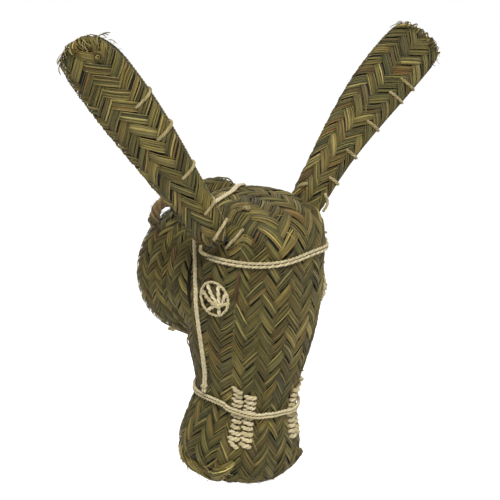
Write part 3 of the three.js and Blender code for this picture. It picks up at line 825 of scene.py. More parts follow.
def add_node(tree, kind, links=(), **settings):
    node = tree.nodes.new(kind)
    for key, value in settings.items():
        setattr(node, key, value)
    for socket, source in dict(links).items():
        if hasattr(source, "node"):
            tree.links.new(source, node.inputs[socket])
        else:
            node.inputs[socket].default_value = source
    return node


def fibre_material(name, streak_scale, streak_depth, blotch, roughness, bump, sheen):
    """Plant fibre: streaks along each strand, blotches over it, and a fine ribbed relief."""
    material, tree, shader = new_material(name)
    strand = add_node(tree, "ShaderNodeAttribute", attribute_name="strand").outputs["Vector"]
    colour = add_node(tree, "ShaderNodeAttribute", attribute_name="grass_colour").outputs["Color"]
    place = add_node(tree, "ShaderNodeMapping", {"Vector": strand, "Scale": streak_scale})
    streaks = add_node(tree, "ShaderNodeTexNoise", {
        "Vector": place.outputs[0], "Scale": 1.0, "Detail": 4.0, "Roughness": 0.62})
    position = add_node(tree, "ShaderNodeTexCoord").outputs["Object"]
    patches = add_node(tree, "ShaderNodeTexNoise", {
        "Vector": position, "Scale": 38.0, "Detail": 3.0, "Roughness": 0.55})
    streak_tone = add_node(tree, "ShaderNodeMapRange", {
        "Value": streaks.outputs[0], "From Min": 0.25, "From Max": 0.75,
        "To Min": 1 - streak_depth, "To Max": 1 + streak_depth})
    patch_tone = add_node(tree, "ShaderNodeMapRange", {
        "Value": patches.outputs[0], "From Min": 0.3, "From Max": 0.7,
        "To Min": 1 - blotch, "To Max": 1 + blotch})
    tone = add_node(tree, "ShaderNodeMath", {
        0: streak_tone.outputs[0], 1: patch_tone.outputs[0]}, operation="MULTIPLY")
    tinted = add_node(tree, "ShaderNodeVectorMath", {
        0: colour, "Scale": tone.outputs[0]}, operation="SCALE")
    tree.links.new(tinted.outputs[0], shader.inputs["Base Color"])
    gloss = add_node(tree, "ShaderNodeMapRange", {
        "Value": streaks.outputs[0], "From Min": 0.3, "From Max": 0.7,
        "To Min": roughness - 0.12, "To Max": roughness + 0.12})
    tree.links.new(gloss.outputs[0], shader.inputs["Roughness"])
    relief = add_node(tree, "ShaderNodeBump", {
        "Height": streaks.outputs[0], "Strength": bump, "Distance": 0.25 * MM})
    tree.links.new(relief.outputs[0], shader.inputs["Normal"])
    shader.inputs["Specular IOR Level"].default_value = 0.35
    shader.inputs["Sheen Weight"].default_value = sheen
    shader.inputs["Sheen Roughness"].default_value = 0.6
    return material


GRASS_MATERIAL = fibre_material("esparto_blades", (2600, 130, 900), 0.34, 0.16, 0.58, 0.6, 0.05)
CORD_MATERIAL = fibre_material("twisted_fibre", (1500, 420, 900), 0.22, 0.08, 0.8, 0.9, 0.25)


def grass_piece(bundle, node):
    bundle.piece(node, GRASS_MATERIAL, "esparto_plait", node + "_plaited")


# ======== head ========
FACE_COLUMNS = 9
LIP_ROWS = 5                          # rows of the grid under the mouth's edge
LIP_DEPTH = 18 * MM                   # radius over which the upper lip turns under


def lip_points():
    """The face plait's end, turned under at the mouth."""
    tree = tree_of("upper_lip_band")
    angles = head_polar(band_points("face_band")[-1])[0]
    centres = HEAD.at(angles, LOW_EDGE(angles) + 1 * MM, -LIP_DEPTH)
    points = np.empty((LIP_ROWS, len(angles), 3))
    for i, turn in enumerate(np.linspace(0.25, 1.1, LIP_ROWS)):
        for j, angle in enumerate(angles):
            way = head_out(angle) * math.cos(turn) + DOWN * math.sin(turn)
            reach = outer_distance(tree, centres[j], way, 0.04)
            points[i, j] = centres[j] + way * (np.nan_to_num(reach, nan=LIP_DEPTH) - INSET)
    return points


def round_off(points, row, reach=5, times=4):
    """Softens a grid across one of its rows, so that a plait runs over it without a crease."""
    points = points.copy()
    part = slice(row - reach, row + reach)
    for _ in range(times):
        around = points[row - reach - 1:row + reach + 1]
        points[part] = (around[:-2] + 2 * around[1:-1] + around[2:]) / 4
    return points


def on_lip(points):
    angle, station, _ = head_polar(points)
    return station > LOW_EDGE(angle) - 1 * MM


def build_face():
    """One plait in three pieces: the crown's part, the face's part and the lip's part."""
    fan, band, lip = fan_points()[:-1], band_points("face_band"), lip_points()
    rim, mouth = len(fan), len(fan) + len(band)
    points = round_off(np.concatenate([fan, band, lip]), rim)
    whole = Sheet(points, INSIDE, even=True)
    band_rows = round(Sheet(band, INSIDE).length / ROW)
    rows = FAN_ROWS + round(band_rows * (1 + LIP_ROWS / len(band)))
    reach = np.abs(head_polar(vertices("upper_lip_band"))[0]).max() + math.radians(9)
    parts = (
        ("crown_cap", slice(0, rim + 1), on_crown),
        ("face_band", slice(rim, mouth), lambda p: ~on_crown(p) & ~on_lip(p)),
        ("upper_lip_band", slice(mouth - 1, None),
         lambda p: on_lip(p) & (np.abs(head_polar(p)[0]) < reach)),
    )
    for seed, (node, grid_rows, keep) in enumerate(parts):
        bundle = Bundle()
        grid = whole.points[grid_rows]
        if node == "upper_lip_band":
            grid = grid[:, np.abs(head_polar(grid[0])[0]) < reach]
        part = Sheet(grid, INSIDE)
        rng = np.random.default_rng(104 + seed)
        backing(bundle, part)
        plait(bundle, whole, FACE_COLUMNS, rows, np.random.default_rng(100), keep=keep)
        stray_blades(bundle, part, 60 if seed < 2 else 20, rng)
        if node == "upper_lip_band":
            fringe(bundle, part, rng)
        grass_piece(bundle, node)


def fringe(bundle, sheet, rng, number=110):
    """Pale cut ends along a plait's end."""
    u, v = rng.uniform(0.02, 0.98, number), rng.uniform(0.75, 1.02, number)
    roots, normals = sheet.at(u, v, 0.2 * MM)
    lean = unit(sheet.at(u + rng.normal(0, 0.05, number), v + 0.05)[0] - roots)
    curl(bundle, roots, lean, normals, rng.uniform(2.5, 8, number) * MM, rng,
         pick_colours(rng, number, palette=STRAW, rarity=0.2), width=0.4 * MM, rise=0.7)


def build_other_bands():
    for number, node in enumerate(HEAD_BANDS[1:]):
        bundle = Bundle()
        sheet = Sheet(band_points(node), INSIDE, even=True)
        plaited(bundle, sheet, np.random.default_rng(101 + number), strays=60)
        grass_piece(bundle, node)


SEAM_STITCHES = (-0.02, 0.03, 0.11, 0.36, 0.6)    # shares of the seam where a stitch shows


def seam_stitch(name, share, rng):
    """A small stitch across a seam."""
    middle = SEAMS[name](HEAD.low)
    top, low = TOP_EDGE(middle), LOW_EDGE(middle)
    station = top + (low - top) * share
    turn = np.linspace(-1, 1, 6)
    half = rng.uniform(3.5, 5.5) * MM
    slant = rng.normal(3, 2) * MM
    angle = SEAMS[name](station) + turn * half / SEAM_RADIUS
    return HEAD.at(angle, station + slant * turn, (2.2 - 2.6 * turn**2) * MM)


def build_head_seams():
    for number, name in enumerate(SEAMS):
        node = name + "_seam_cord"
        rng = np.random.default_rng(120 + number)
        points = vertices(node)
        bundle = Bundle()
        twisted_cord(bundle, trace(points, head_polar(points)[1], 14), 1.1 * MM, rng,
                     palette=GRASS, hairs=0.1, step=0.8)
        if name != "right_face":
            for share in SEAM_STITCHES:
                twisted_cord(bundle, seam_stitch(name, share, rng), 0.9 * MM, rng, palette=STRAW)
        finish_cord(bundle, node, "sewing_cord")


def knot_path(centre, radius, turn):
    """A cord tied in a trefoil knot."""
    t = np.linspace(0, TAU, 40) + turn
    shape = np.stack([np.sin(t) + 2 * np.sin(2 * t), np.cos(t) - 2 * np.cos(2 * t),
                      -np.sin(3 * t)], -1)
    return centre + shape / 3.3 * radius


def build_knots():
    for seed, node, radius in ((131, "crown_knot", 3.6 * MM), (132, "neck_knot", 4.4 * MM)):
        centre = box_middle(vertices(node))
        if node == "crown_knot":
            centre = centre + DOWN * settle(centre[None], np.array([True]), 4.5 * MM)
        cord_piece(node, [knot_path(centre, radius, seed)], 1.9 * MM, seed, "sewing_cord",
                   palette=STRAW)


# ======== neck ========
def neck_axis():
    low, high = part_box("neck_wall_band")
    return np.array(((low.x + high.x) / 2, 0.0, (low.z + high.z) / 2))


NECK_AXIS = neck_axis()
NECK_THICKNESS = 6.5 * MM
NECK_PUFF = 2.0 * MM          # how far the neck's strands stand out of the CAD shell
NECK_STEPS = 72               # points of the neck's grids round its axis
FOLD_COLUMN, FOLD_ROW = 13 * MM, 15 * MM      # of the plait folded over the poll


def neck_out(angle):
    """Away from the neck's axis: angle 0 is up, and it turns towards +X."""
    angle = np.asarray(angle)
    return np.stack([np.sin(angle), 0 * angle, np.cos(angle)], -1)


def ring_grid(node, angles, depths, reach):
    """Distance of a node's outside from the neck's axis, by angle and depth."""
    tree = tree_of(node)
    grid = np.full((len(angles), len(depths)), np.nan)
    for i, out in enumerate(neck_out(angles)):
        for j, y in enumerate(depths):
            grid[i, j] = outer_distance(tree, NECK_AXIS + np.array((0, y, 0)), out, reach)
    return grid


def neck_points(angles, depths, radii):
    points = NECK_AXIS + neck_out(angles)[:, None] * radii[..., None]
    return points + np.array((0, 1, 0)) * depths[None, :, None]


def neck_sheet(node):
    low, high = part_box(node)
    depths = np.linspace(high.y - 0.8 * MM, low.y + 0.8 * MM, 10)
    reach = np.linspace(0, 1, 10) if node == "neck_wall_band" else np.linspace(-1, 0, 10)
    places = depths - reach * 6 * MM        # the two windings reach over the seam between them
    angles = np.arange(NECK_STEPS) / NECK_STEPS * TAU
    grid = ring_grid(node, angles, depths, 0.12)
    usual = np.nanmedian(grid, 0)
    grid[np.abs(grid - usual) > 3 * MM] = np.nan
    grid = np.where(np.isnan(grid), usual, grid) + NECK_PUFF
    return Sheet(neck_points(angles, places, grid), NECK_AXIS + np.array((0, depths.mean(), 0)),
                 closed=True)


def clear_of_head(points, depth=7 * MM):
    """Which points of the neck are outside the head, or no deeper in it than depth."""
    angle, station, radius = head_polar(points)
    beside = (station < HEAD.low - 8 * MM) | (station > HEAD.high)
    return beside | (radius > HEAD.radius_at(angle, station) - depth)


def build_neck():
    for number, node in enumerate(("neck_wall_band", "neck_head_band")):
        rng = np.random.default_rng(140 + number)
        bundle = Bundle()
        sheet = neck_sheet(node)
        columns, rows = 4, round(sheet.length / (15.5 * MM))
        # The outer face is brightened by 0.18 as painted light, against the head's shadow that
        # falls on the neck.
        plait(bundle, sheet, columns, rows, rng, keep=clear_of_head, tone=1.18)
        neck_backing(bundle, sheet)
        plait(bundle, sheet.inner_side(NECK_THICKNESS), columns, rows, rng, keep=clear_of_head,
              tone=0.8, blades=5, steps=6)
        grass_piece(bundle, node)


def neck_backing(bundle, sheet):
    """The core of the neck plait, one skin between its two faces, in near-black painted shade."""
    u, v = np.meshgrid(np.linspace(0, 1, 10), np.arange(NECK_STEPS) / NECK_STEPS)
    outer, inner = sheet.at(u, v, -UNDER)[0], sheet.at(u, v, -NECK_THICKNESS + UNDER)[0]
    middle = sheet.at(np.full(NECK_STEPS, 0.5), v[:, 0], -UNDER)[0]
    kept = clear_of_head(middle, 24 * MM)
    if not kept.all():
        first = np.flatnonzero(kept & ~np.roll(kept, 1))[0]
        order = (first + np.arange(kept.sum())) % NECK_STEPS
        outer, inner = outer[order], inner[order]
    shade_skin(bundle, sheet, outer, inner, kept.all())


def build_neck_seam():
    points = vertices("neck_seam_cord")
    away = points - NECK_AXIS
    angle = np.arctan2(away[:, 0], away[:, 2])
    line = trace(points, angle, 60)
    gaps = np.flatnonzero(np.linalg.norm(np.diff(line, axis=0), axis=1) > 25 * MM)
    paths = np.split(line, gaps + 1)
    if len(paths) == 1:
        paths = [np.vstack([line, line[:1]])]
    cord_piece("neck_seam_cord", [p for p in paths if len(p) > 2], 1.1 * MM, 143, "sewing_cord",
               palette=GRASS, hairs=0.15, step=0.8)


def build_poll_fold():
    """The folded end of the neck plait, which humps up behind the crown."""
    node = "poll_fold"
    away = vertices(node) - NECK_AXIS
    angle = np.arctan2(away[:, 0], away[:, 2])
    low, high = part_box(node)
    angles = np.linspace(angle.min() + 0.02, angle.max() - 0.02, 30)
    depths = np.linspace(high.y - 0.5 * MM, low.y + 0.5 * MM, 12)
    grid = ring_grid(node, angles, depths, 0.16)
    grid = smooth(fill_gaps(grid), 1) - 0.8 * MM
    sheet = Sheet(neck_points(angles, depths, grid), NECK_AXIS + np.array((0, low.y, 0)), even=True)
    bundle = Bundle()
    rng = np.random.default_rng(144)
    plaited(bundle, sheet, rng, column=FOLD_COLUMN, row=FOLD_ROW, strays=30)
    columns, rows = round(sheet.width / FOLD_COLUMN), round(sheet.length / FOLD_ROW)
    plait(bundle, sheet.inner_side(NECK_THICKNESS), columns, rows, rng, tone=0.9)
    grass_piece(bundle, node)


# ======== muzzle ========
def tube_sheet(path, radii, out, down, columns=26):
    """The outside of a roll: out and down are the two directions of its section."""
    turn = (math.pi + np.linspace(0, TAU, columns))[None, :, None]
    section = out[:, None] * np.cos(turn) + down[:, None] * np.sin(turn)
    points = path[:, None] + section * radii[:, None, None]
    return Sheet(points, path[len(path) // 2])


# How each end of the roll goes on: degrees, then mm up, out and radius.
NEAR_RISE = ((50, 2, 3.5, 6.5), (44, 10, 4.5, 5), (39, 18, 1.5, 3))
FAR_RISE = ((52, 3, 0, 6.5), (47, 8, -2, 5), (43, 13, -4, 3))
LIP_HITCH = 4 * MM                    # the roll is drawn up this far beside its right end
HITCH_ANGLE, HITCH_SPREAD = math.radians(-68), math.radians(24)      # where, and how widely
ROLL_RADIUS = 9.8 * MM                # of the roll between its ends
WINDING = 120 * MM                    # length of one turn of the blades round the roll


def lip_path():
    """The roll's line and radius: both ends rise at the base of a nostril and tuck in there."""
    points = vertices("lower_lip_roll")
    line = trace(points, head_polar(points)[0] % TAU, 30)
    if head_polar(line[0])[0] < 0:
        line = line[::-1]
    angle = head_polar(line)[0]
    hitch = np.exp(-((angle - HITCH_ANGLE) / HITCH_SPREAD) ** 2) * LIP_HITCH
    line = line - DOWN * hitch[:, None]
    ends = []
    for sign, rise in ((1, FAR_RISE), (-1, NEAR_RISE)):
        degrees, up, out, _ = np.array(rise, float).T
        angles = np.radians(sign * degrees)
        ends.append(HEAD.at(angles, LOW_EDGE(angles) - up * MM, out * MM))
    path = np.concatenate([ends[0][::-1], line[1:-1], ends[1]])
    radii = np.full(len(path), ROLL_RADIUS)
    radii[:3] = [row[3] * MM for row in FAR_RISE[::-1]]
    radii[-3:] = [row[3] * MM for row in NEAR_RISE]
    return path, radii


def build_lower_lip():
    rough, rough_radii = lip_path()
    path, _ = resample(rough, 5 * MM)
    radii = np.interp(np.linspace(0, 1, len(path)), np.linspace(0, 1, len(rough)), rough_radii)
    out = head_out(head_polar(path)[0])
    tangents = unit(np.gradient(path, axis=0))
    down = np.cross(out, tangents)
    down = down * np.sign(down @ DOWN)[:, None]
    square = np.cross(tangents, down)
    out = square * np.sign(np.sum(square * out, 1))[:, None]
    bundle = Bundle()
    rng = np.random.default_rng(150)
    sheet = tube_sheet(path, radii, out, down)
    backing(bundle, sheet)
    wound_blades(bundle, path, radii, out, down, rng)
    stray_blades(bundle, sheet, 30, rng)
    cut_ends(bundle, path, radii, out, down, rng)
    grass_piece(bundle, "lower_lip_roll")


def wound_blades(bundle, path, radii, out, down, rng, number=620):
    """Long blades laid side by side round a roll, at a slant."""
    steps, last = 12, len(path) - 1
    length = np.linalg.norm(np.diff(path, axis=0), axis=1).sum()
    reach = rng.uniform(28, 62, (number, 1)) * MM / length * last
    middle = np.linspace(0, last, number)[rng.permutation(number)][:, None]
    place = (middle + reach * np.linspace(-0.5, 0.5, steps)).clip(0, last)
    turn = rng.uniform(0, TAU, (number, 1)) + place / last * length / WINDING * TAU
    knots = np.arange(len(path))

    def at(values):
        return np.stack([np.interp(place, knots, column) for column in values.T], -1)

    normals = unit(at(out) * np.cos(turn)[..., None] + at(down) * np.sin(turn)[..., None])
    ends = np.sin(np.linspace(0.12, 0.88, steps) * math.pi)[None] ** 0.5
    lift = rng.uniform(-1.4, 0.5, (number, 1)) * MM - 2.5 * MM * (1 - ends)
    paths = at(path) + normals * (np.interp(place, knots, radii) + lift)[..., None]
    width = 1.15 * MM * rng.normal(1, 0.25, (number, 1)).clip(0.5, 1.5) * ends
    # Brightened by a quarter as painted light, lifting the roll out of the shade under the face.
    colour = pick_colours(rng, number, palette=GRASS + STRAW[:1], rarity=0.2) * 1.25
    bundle.tubes(paths, normals, width, width * 0.5, BLADE_SECTION, colour, rng)


def cut_ends(bundle, path, radii, out, down, rng, number=170):
    """Pale cut ends of blades that fray along the underside of the roll."""
    place = rng.integers(2, len(path) - 2, number)
    turn = rng.normal(0.9, 0.35, (number, 1))
    normals = out[place] * np.cos(turn) + down[place] * np.sin(turn)
    roots = path[place] + normals * radii[place][:, None]
    tangents = unit(np.gradient(path, axis=0))[place]
    lean = unit(tangents * rng.normal(0, 1, (number, 1)) + down[place] * 0.4)
    colours = pick_colours(rng, number, palette=STRAW, rarity=0.3)
    curl(bundle, roots, lean, normals, rng.uniform(2, 9, number) * MM, rng, colours,
         width=0.45 * MM, rise=0.8)


def build_sole():
    """The coiled plait that closes the muzzle from below."""
    node = "muzzle_sole_coil"
    points = vertices(node)
    _, station, _ = head_polar(points)
    centre = box_middle(points) * (0, 1, 1)
    centre = AXIS + DOWN * (station.max() - INSET) + FORWARD * ((centre - AXIS) @ FORWARD)
    away = points - centre
    wide, deep = np.abs(away @ RIGHTWARD).max(), np.abs(away @ FORWARD).max()
    bundle = Bundle()
    rng = np.random.default_rng(152)
    angles = np.arange(40) / 40 * TAU
    for inner, outer in ((0.04, 0.48), (0.5, 1.0)):
        share = np.linspace(inner, outer, 6)
        rim = (np.sin(angles)[:, None] * wide * RIGHTWARD
               + np.cos(angles)[:, None] * deep * FORWARD)
        sheet = Sheet(centre + rim[:, None] * share[None, :, None], centre - DOWN * 0.05,
                      closed=True)
        plaited(bundle, sheet, rng, column=12 * MM, row=14 * MM, tone=0.8)
    grass_piece(bundle, node)


# ======== ears ========
EAR_BEND = {"right": (-12 * MM, 0.6), "left": (36 * MM, 0.9)}     # aside = a (s^2 - b s)
EAR_ROOT = {"right": 0.0, "left": 14 * MM}    # how far the root goes on into the crown
EAR_TIP = {"right": 15 * MM, "left": 1 * MM}   # how far the plaited tip stands past the shell
TIP_ROUNDING = {"right": 36 * MM, "left": 19 * MM}
EAR_PINCH = {"right": 0.62, "left": 0.92}     # share of its width that is left at its root
EAR_REACH = 0.08                              # farther than its surface is from its middle


class EarFrame:
    """An ear's own axes: x across to its sewn edge, y to its back, z to its tip."""

    def __init__(self, side):
        self.bend = EAR_BEND[side]
        node = side + "_ear_plait"
        self.joint, self.origin, self.x, self.z = hinge_of(side + "_ear", node)
        self.y = np.cross(self.z, self.x)
        local = self.local(vertices(node))
        self.low, self.high = local[:, 2].min(), local[:, 2].max()
        self.root = self.low - EAR_ROOT[side]
        self.pinch = EAR_PINCH[side]
        self.tip = self.high + EAR_TIP[side]
        self.rounding = TIP_ROUNDING[side]
        tree = tree_of(node)
        heights = np.linspace(self.low + 2 * MM, self.high - 2 * MM, 24)
        halves = [outer_distance(tree, self.out((0, 0, h)), -self.x, EAR_REACH) for h in heights]
        self.half = lambda h: np.interp(h, heights, halves)
        self.thick = outer_distance(tree, self.out((0, 0, 0.1)), -self.y, EAR_REACH)

    def local(self, points):
        away = points - self.origin
        return np.stack([away @ self.x, away @ self.y, away @ self.z], -1)

    def out(self, local, bend=(0.0, 0.0)):
        """From the ear's axes to the scene's, with the ear drawn aside along x by bend."""
        local = np.asarray(local, float)
        share = local[..., 2:] / self.high
        aside = bend[0] * (share**2 - bend[1] * share)
        return (self.origin + (local[..., :1] + aside) * self.x + local[..., 1:2] * self.y
                + local[..., 2:] * self.z)


EARS = {side: EarFrame(side) for side in ("right", "left")}
TIP_POWER = 2.8            # of the curve that closes an ear over its tip
ROOT_GATHER = 24 * MM      # length over which the root is pinched flat


def ear_size(ear, height):
    """Half width and half thickness of an ear, closing over a rounded tip."""
    left = np.clip((ear.tip - height) / ear.rounding, 0, 1)
    wide = ear.half(height) * (1 - (1 - left) ** TIP_POWER) ** 0.5
    thin = ear.thick * (1 - (1 - np.clip(left * 2.2, 0, 1)) ** 2.4) ** 0.5
    root = ease(height, ear.root - 2 * MM, ear.root + ROOT_GATHER)
    wide, thin = wide * (ear.pinch + (1 - ear.pinch) * root), thin * (0.16 + 0.84 * root)
    return np.maximum(wide, 1.2 * MM) - INSET, np.maximum(thin, 1.6 * MM) - INSET


def ear_point(ear, around, height, lift=0.0):
    """A point on an ear: around runs from the sewn edge over the back."""
    wide, thin = ear_size(ear, height)
    return ear.out(np.stack([(wide + lift) * np.cos(around), (thin + lift) * np.sin(around),
                             height + 0 * around], -1), ear.bend)


def ear_sheet(ear):
    slit = math.radians(9)
    around = np.linspace(slit, TAU - slit, 40)
    share = np.linspace(0, 1, 46)
    share = share + 0.04 * np.sin(share * math.pi) ** 2
    heights = ear.root + (ear.tip - 1 * MM - ear.root) * np.minimum(share, 1)
    a, h = np.meshgrid(around, heights)
    return Sheet(ear_point(ear, a, h), ear.out((0, 0, heights[23]), ear.bend), even=True)


def build_ears():
    for number, (side, ear) in enumerate(EARS.items()):
        rng = np.random.default_rng(160 + number)
        bundle = Bundle()
        plaited(bundle, ear_sheet(ear), rng, column=16.5 * MM, row=18.5 * MM, strays=50)
        frayed_tip(bundle, ear, rng)
        if side == "right":
            tip_knot(bundle, ear, rng)
        grass_piece(bundle, f"{side}_ear_plait")


def frayed_tip(bundle, ear, rng, number=46):
    """Blades that turn over the tip from front to back, and a few loose curled ends."""
    half = float(ear.half(ear.high - 6 * MM))
    side = rng.uniform(-0.93, 0.93, number)
    outline = ear.tip - 1 * MM - ear.rounding * (1 - (1 - side**2) ** (1 / TIP_POWER))
    t = np.linspace(0, 1, 9)[None]
    turn = t * math.pi
    depth = rng.uniform(4, 15, (number, 1)) * MM
    x = side[:, None] * half + rng.normal(0, 9 * MM, (number, 1)) * (t - 0.5)
    y = -(ear.thick + rng.uniform(0, 1.6, (number, 1)) * MM) * np.cos(turn)
    z = outline[:, None] + rng.normal(1, 1.2, (number, 1)) * MM - depth * (1 - np.sin(turn) ** 0.7)
    paths = ear.out(np.stack([x, y, z], -1), ear.bend)
    normals = unit(paths - ear.out(np.stack([x, 0 * y, z - 8 * MM], -1), ear.bend))
    widths = 0.8 * MM * rng.uniform(0.6, 1.4, (number, 1)) * np.sin(0.25 + turn * 0.84) ** 0.4
    bundle.tubes(paths, normals, widths, widths * 0.6, BLADE_SECTION,
                 pick_colours(rng, number, rarity=0.3), rng)
    around = rng.normal(-0.6, 0.5, 26)
    height = ear.tip - rng.uniform(3, 34, 26) * MM
    roots = ear_point(ear, around, height)
    centres = ear.out(np.stack([0 * height, 0 * height, height], -1), ear.bend)
    lean = unit(rng.normal(0.3, 0.6, (26, 1)) * ear.x + rng.normal(-0.3, 0.8, (26, 1)) * ear.z)
    curl(bundle, roots, lean, unit(roots - centres), rng.uniform(6, 15, 26) * MM, rng,
         width=0.5 * MM, rise=0.3, sag=0.5)


def tip_knot(bundle, ear, rng, number=16):
    """Cut ends of the right ear's plait, curled into a small knot beside its sewn edge."""
    t = np.linspace(0, 1, 14)[None]
    radius = rng.uniform(1.5, 6.5, (number, 1)) * MM * (1 - 0.25 * t)
    turn = rng.uniform(0, TAU, (number, 1)) - rng.uniform(2.5, 5, (number, 1)) * t
    x = 15 * MM + radius * np.cos(turn)
    z = ear.high - 10 * MM + radius * np.sin(turn)
    y = -ear.thick - rng.uniform(0, 3.5, (number, 1)) * MM + 0 * t
    paths = ear.out(np.stack([x, y, z], -1), ear.bend)
    widths = 0.6 * MM * rng.uniform(0.7, 1.3, (number, 1)) * (1 - 0.4 * t)
    bundle.tubes(paths, -ear.y + 0 * paths, widths, widths * 0.7, HAIR_SECTION,
                 pick_colours(rng, number), rng)


# Stitches over the sewn edge: their shares of the ear's length, and how far they slant to the root.
EDGE_STITCHES = {
    "right": ((0.18, 0.365, 0.565, 0.73), 7 * MM),
    "left": ((0.12, 0.28, 0.46, 0.65, 0.74), 3 * MM),
}
# Stitches that tie the roots, in mm: across, out of the front face, along the ear.
ROOT_STITCHES = {
    "right_ear_inner_stitch": (((29, 7, 22), (15, 10.5, 14), (1, 9, 6)),
                               ((38, 8, 3), (22, 9.5, -3), (6, 5, -9))),
    "right_ear_outer_stitch": (((-16, 6, 7), (-20, 8, 1), (-18, 3, -8)),),
    "left_ear_inner_stitch": (((12, 8, 8), (22, 7, 1), (24, 2, -9)),),
    "left_ear_outer_stitch": (((-12, 8, 4), (-18, 8, -4), (-19, 2, -13)),),
}


def laid_on(path, tree, rest=2.6 * MM, reach=30 * MM, ahead=10 * MM):
    """A stitch moved back along the front view until it lies on the pieces behind it."""
    path, _ = resample(path, 2.5 * MM)
    depth = np.zeros(len(path))
    for i, point in enumerate(path):
        hit = tree.ray_cast(point + FRONT * ahead, -FRONT, reach + ahead)
        depth[i] = np.nan if hit[0] is None else hit[3] - ahead - rest
    known = np.flatnonzero(~np.isnan(depth))
    depth = np.interp(np.arange(len(path)), known, depth[known])
    for _ in range(3):
        depth = soften(depth)
    return path - FRONT * depth[:, None]


def build_ear_cords():
    for number, (side, ear) in enumerate(EARS.items()):
        rng = np.random.default_rng(170 + number)
        bundle = Bundle()
        heights = np.linspace(0.06, 0.9, 12) * ear.high
        wide = ear_size(ear, heights)[0]
        run = ear.out(np.stack([wide - INSET, 0 * wide, heights], -1), ear.bend)
        twisted_cord(bundle, run, 1.3 * MM, rng, palette=GRASS, hairs=0.3)
        shares, slant = EDGE_STITCHES[side]
        for share in shares:
            turn = np.array([0.35, 0.0, -0.3, -0.62, -0.95, -1.2])
            lift = np.array([0.2, 1.2, 1.8, 1.8, 1.4, 0.0]) * MM
            path = ear_point(ear, turn, share * ear.high + slant * turn, lift)
            twisted_cord(bundle, path, rng.uniform(1.7, 2.3) * MM, rng, palette=STRAW, plies=3,
                         pitch=9, hairs=0.3)
        finish_cord(bundle, f"{side}_ear_seam_cord", "sewing_cord")
    for number, (node, stitches) in enumerate(ROOT_STITCHES.items()):
        side = node.split("_")[0]
        ear = EARS[side]
        tree = tree_of(side + "_ear_plait", "crown_cap", "face_band")
        paths = [laid_on(ear.out(np.array(path, float) * (1, -1, 1) * MM), tree)
                 for path in stitches]
        cord_piece(node, paths, 1.9 * MM, 174 + number, "sewing_cord", palette=STRAW, hairs=0.3,
                   plies=3, pitch=8, bends=ear)


# ======== hanging loop ========
def build_hanger():
    _, origin, x, z = hinge_of("loop", "hanging_loop")
    y = np.cross(z, x)
    points = vertices("hanging_loop")
    away = points - origin + z * 6 * MM
    line = trace(points, np.arctan2(away @ z, away @ x), 16)
    cord_piece("hanging_loop", [line], 6.4 * MM, 180, "brown_grass_rope", palette=ROPE, plies=7,
               pitch=4.4, hairs=2.0, lay=0.68, hair=0.4 * MM)
    for seed, side in enumerate(("right", "left")):
        node = f"loop_{side}_staple"
        points = vertices(node)
        away = points - origin
        line = trace(points, np.arctan2(away @ z, away @ y), 8)
        cord_piece(node, [line], 1.7 * MM, 181 + seed, "sewing_cord", palette=GRASS, hairs=0.3)


# ======== halter ========
def build_halter():
    seed = 190
    for band, bins, closed in (("noseband", 48, True), ("browband", 30, False)):
        for edge in ("upper", "lower"):
            node = f"{band}_{edge}_cord"
            points = vertices(node)
            line = trace(points, head_polar(points)[0], bins, closed)
            cord_piece(node, [line], HALTER_RADIUS, seed, "cream_cord")
            seed += 1


HEADSTALL_DIP = 7 * MM        # it sinks between the strands on the far side of the crown


def build_headstall():
    points = vertices("headstall_cord")
    low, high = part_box("headstall_cord")
    away = points - np.array((0, 0, (low.z + high.z) / 2))
    line = trace(points, np.arctan2(away[:, 0], away[:, 2]), 56)
    line, _ = resample(line, 8 * MM)
    angle, station, _ = head_polar(line)
    out = head_out(angle)
    on_top = station < TOP_EDGE(angle)
    out[on_top] = unit(0.4 * out[on_top] - DOWN)
    sunk = ease(line[:, 0], 2 * MM, 14 * MM) * ease(-line[:, 0], -62 * MM, -50 * MM) * on_top
    line = line + DOWN * (settle(line, on_top) + HEADSTALL_DIP * sunk)[:, None]
    side = unit(np.cross(unit(np.gradient(line, axis=0)), out))
    strands = [line + side * HALTER_RADIUS, line - side * HALTER_RADIUS]
    knots = [knot_path(line[end], 3.4 * MM, end) for end in (1, -2)]
    cord_piece("headstall_cord", [*strands, *knots], 1.7 * MM, 194, "cream_cord")


# ======== eyes and nostrils ========
SPOKES = 7                # stitches that fan out from one corner of an eye


def build_eyes():
    for seed, side in enumerate(("right", "left")):
        points = vertices(side + "_eye_ring")
        centre = box_middle(points)
        angle = head_polar(centre)[0]
        out = head_out(np.array(angle))
        across = np.cross(DOWN, out)
        away = points - centre
        line = trace(points, np.arctan2(away @ across, -(away @ DOWN)), 26, closed=True)
        cord_piece(side + "_eye_ring", [line], HALTER_RADIUS, 200 + seed, "cream_cord")
        spokes = vertices(side + "_eye_spokes")
        around = line[:-1]
        hub = centre + DOWN * 4.5 * MM + across * (11.5 * MM if side == "left" else -11.5 * MM)
        hub = hub + out * (np.max((spokes - hub) @ out) - 2.0 * MM)
        paths = []
        rng = np.random.default_rng(206 + seed)
        for i in range(SPOKES):
            rim = around[round((i + rng.uniform(0.1, 0.6)) / SPOKES * len(around)) % len(around)]
            begin = hub + rng.normal(0, 1.2 * MM, 3)
            end = begin + (rim - begin) * 0.95
            bend = (begin + end) / 2 + out * 1.2 * MM + rng.normal(0, 0.8 * MM, 3)
            paths.append(np.array([begin, bend, end]))
        cord_piece(side + "_eye_spokes", paths, 2.3 * MM, 202 + seed, "cream_cord")


MUZZLE_RADIUS = 0.067     # from the head's axis to the nostrils


